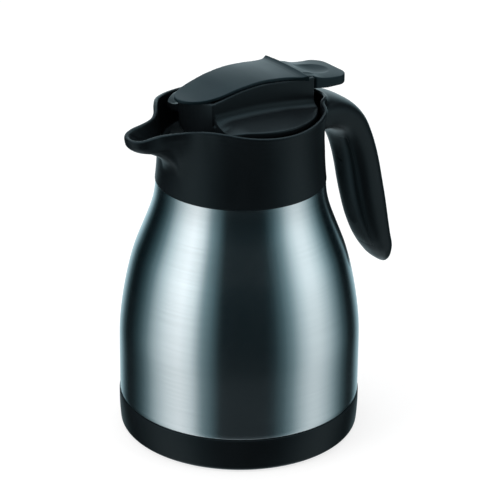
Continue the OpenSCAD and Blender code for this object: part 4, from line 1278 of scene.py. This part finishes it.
# Light that the gloss sees all round, as [degrees to the camera's right, level, tint if it has one].
# Black cards stand in front and at both sides, softboxes with feathered edges between them, and a white
# wall behind.
AROUND = [[-180, 1.4, FAR], [-166, 1.1, FAR], [-155, 0.72, FAR], [-143, 0.1], [-134, 0.004], [-122, 0.01],
          [-110, 0.07], [-98, 0.25], [-86, 0.72], [-72, 1.15], [-58, 1.35], [-46, 1.05], [-36, 0.34],
          [-26, 0.15], [-18, 0.009], [26, 0.009], [34, 0.03], [44, 0.15], [53, 0.36], [62, 0.76],
          [72, 1.06], [82, 1.07], [93, 0.8], [104, 0.42], [115, 0.13], [127, 0.004], [141, 0.01],
          [153, 0.55, FAR], [166, 1.0, FAR], [180, 1.4, FAR]]

# The same light by its height, as [degrees above level, share], and what floor and ceiling add to it.
ABOVE = [[-90, 0.6], [-24, 0.8], [-8, 0.97], [10, 1.36], [20, 1.12], [34, 0.58], [60, 0.5], [90, 0.5]]
GLOW = [[-90, 0.9], [-64, 0.8], [-52, 0.14], [-38, 0.012], [-24, 0.006], [-8, 0], [42, 0], [50, 2.4],
        [70, 2.4], [90, 1.2]]


def ramp(tree, source, stops, low, high, cool=(1, 1, 1)):
    """Colour ramp over an angle in degrees, and its highest level. Cool is a power for each channel."""
    level = tree.nodes.new("ShaderNodeMapRange")
    for socket, value in (("From Min", math.radians(low)), ("From Max", math.radians(high))):
        level.inputs[socket].default_value = value
    tree.links.new(source, level.inputs["Value"])
    node = tree.nodes.new("ShaderNodeValToRGB")
    tree.links.new(level.outputs[0], node.inputs[0])
    points = node.color_ramp.elements
    while len(points) < len(stops):
        points.new(0.5)
    highest = max(value for _, value, *_ in stops)
    for point, (angle, value, *tint) in zip(points, stops):
        point.position = (angle - low) / (high - low)
        tone = np.power(value / highest, cool) * (tint[0] if tint else 1)
        point.color = (*tone, 1)
    return node.outputs[0], highest


def light_tent(radius):
    """Large round tent of softboxes and black cards, which only gloss sees."""
    mesh = bpy.data.meshes.new("light_tent")
    work = bmesh.new()
    bmesh.ops.create_uvsphere(work, u_segments=96, v_segments=48, radius=radius)
    work.to_mesh(mesh)
    work.free()
    tent = bpy.data.objects.new("light_tent", mesh)
    bpy.context.scene.collection.objects.link(tent)
    tent.rotation_euler = (0, 0, math.radians(CAMERA_SIDE))
    material = bpy.data.materials.new("tent_light")
    material.use_nodes = True
    tree = material.node_tree
    tree.nodes.clear()
    place = tree.nodes.new("ShaderNodeTexCoord")
    split = tree.nodes.new("ShaderNodeSeparateXYZ")
    tree.links.new(place.outputs["Object"], split.inputs[0])
    x, y, z = split.outputs
    around, most = ramp(tree, calculate(tree, "ARCTAN2", y, x), AROUND, -180, 180, COOL)
    height = calculate(tree, "ARCSINE", calculate(tree, "DIVIDE", z, radius))
    above, top = ramp(tree, height, ABOVE, -90, 90)
    # the glow overhead starts higher on the camera's side
    ahead = calculate(tree, "MULTIPLY", calculate(tree, "MAXIMUM", x, 0), calculate(tree, "MAXIMUM", z, 0))
    lift = 0.6
    lowered = calculate(tree, "MULTIPLY_ADD", ahead, -lift / radius ** 2, height)
    glow, glow_top = ramp(tree, lowered, GLOW, -90, 90)
    walls = tree.nodes.new("ShaderNodeEmission")
    tree.links.new(around, walls.inputs["Color"])
    tree.links.new(calculate(tree, "MULTIPLY", above, most * top), walls.inputs["Strength"])
    ends = tree.nodes.new("ShaderNodeEmission")
    ends.inputs["Color"].default_value = (*GLOW_TINT, 1)
    tree.links.new(calculate(tree, "MULTIPLY", glow, glow_top), ends.inputs["Strength"])
    light = tree.nodes.new("ShaderNodeAddShader")
    tree.links.new(walls.outputs[0], light.inputs[0])
    tree.links.new(ends.outputs[0], light.inputs[1])
    end = tree.nodes.new("ShaderNodeOutputMaterial")
    tree.links.new(light.outputs[0], end.inputs["Surface"])
    mesh.materials.append(material)
    for kind in ("camera", "diffuse", "shadow", "transmission"):
        setattr(tent, "visible_" + kind, False)


def place_camera(lens):
    """Camera at the photograph's place."""
    ahead = Vector(CAMERA_AHEAD).normalized()
    right = ahead.cross(Vector((0, 0, 1))).normalized()
    up = right.cross(ahead)
    side = right * math.cos(CAMERA_ROLL) + up * math.sin(CAMERA_ROLL)
    top = up * math.cos(CAMERA_ROLL) - right * math.sin(CAMERA_ROLL)
    data = bpy.data.cameras.new("camera")
    data.sensor_width = 36
    data.lens = lens
    data.clip_end = 50
    camera = bpy.data.objects.new("camera", data)
    bpy.context.scene.collection.objects.link(camera)
    turn = Matrix((side, top, -ahead)).transposed().to_4x4()
    camera.matrix_world = Matrix.Translation(CAMERA_PLACE) @ turn
    bpy.context.scene.camera = camera


class CARAFE_OT_studio(bpy.types.Operator):
    """Set up the floor, the lamps, the cards and the camera"""
    bl_idname = "carafe.studio"
    bl_label = "Studio"
    bl_options = {"REGISTER", "UNDO"}

    def execute(self, context):
        studio = context.scene.carafe_studio
        half = FLOOR_HALF
        mesh = bpy.data.meshes.new("floor")
        mesh.from_pydata([(x, y, FLOOR_LEVEL) for x, y in ((-half, -half), (half, -half), (half, half),
                                                           (-half, half))], [], [(0, 1, 2, 3)])
        floor = bpy.data.objects.new("floor", mesh)
        context.scene.collection.objects.link(floor)
        mesh.materials.append(floor_finish())
        floor.visible_glossy = False
        room_light(studio.room)
        softbox("lamp_left", (-1.35, 0.15, 0.75), (0, 0, 0.08), (1.0, 1.4), studio.left_power)
        softbox("lamp_right", (0.85, -1.25, 0.7), (0, 0, 0.08), (0.9, 1.3), studio.right_power)
        softbox("lamp_top", (0.25, 0.45, 1.6), (0, 0, 0.15), (1.3, 1.3), studio.top_power)
        light_tent(TENT_RADIUS)
        place_camera(studio.lens)
        context.scene.view_settings.view_transform = "Standard"
        return {"FINISHED"}


OPERATORS = (CARAFE_OT_steel, CARAFE_OT_base, CARAFE_OT_collar, CARAFE_OT_insert, CARAFE_OT_cover,
             CARAFE_OT_leaf, CARAFE_OT_lever, CARAFE_OT_spring, CARAFE_OT_inner, CARAFE_OT_studio)


class CARAFE_PT_panel(bpy.types.Panel):
    """Buttons and settings of the carafe"""
    bl_idname = "CARAFE_PT_panel"
    bl_label = "Thermal carafe"
    bl_space_type = "VIEW_3D"
    bl_region_type = "UI"
    bl_category = "Carafe"

    def draw(self, context):
        column = self.layout.column()
        for operator in OPERATORS:
            column.operator(operator.bl_idname)
        for group in (context.scene.carafe_sizes, context.scene.carafe_finishes, context.scene.carafe_studio):
            box = self.layout.box()
            for key in type(group).__annotations__:
                box.prop(group, key)


CLASSES = (CarafeSizes, CarafeFinishes, CarafeStudio, ShelfRow, *OPERATORS, CARAFE_PT_panel)


def register():
    """Adds the add-on's classes and its settings to the scene."""
    for item in CLASSES:
        bpy.utils.register_class(item)
    bpy.types.Scene.carafe_sizes = bpy.props.PointerProperty(type=CarafeSizes)
    bpy.types.Scene.carafe_finishes = bpy.props.PointerProperty(type=CarafeFinishes)
    bpy.types.Scene.carafe_studio = bpy.props.PointerProperty(type=CarafeStudio)
    bpy.types.Scene.carafe_shelf = bpy.props.CollectionProperty(type=ShelfRow)


def unregister():
    """Takes them out again."""
    for key in ("carafe_sizes", "carafe_finishes", "carafe_studio", "carafe_shelf"):
        delattr(bpy.types.Scene, key)
    for item in reversed(CLASSES):
        bpy.utils.unregister_class(item)


def main():
    """Builds every piece and the studio."""
    register()
    for operator in OPERATORS:
        getattr(bpy.ops.carafe, operator.bl_idname.split(".")[1])()
    bpy.context.view_layer.update()


if __name__ == "__main__":
    main()
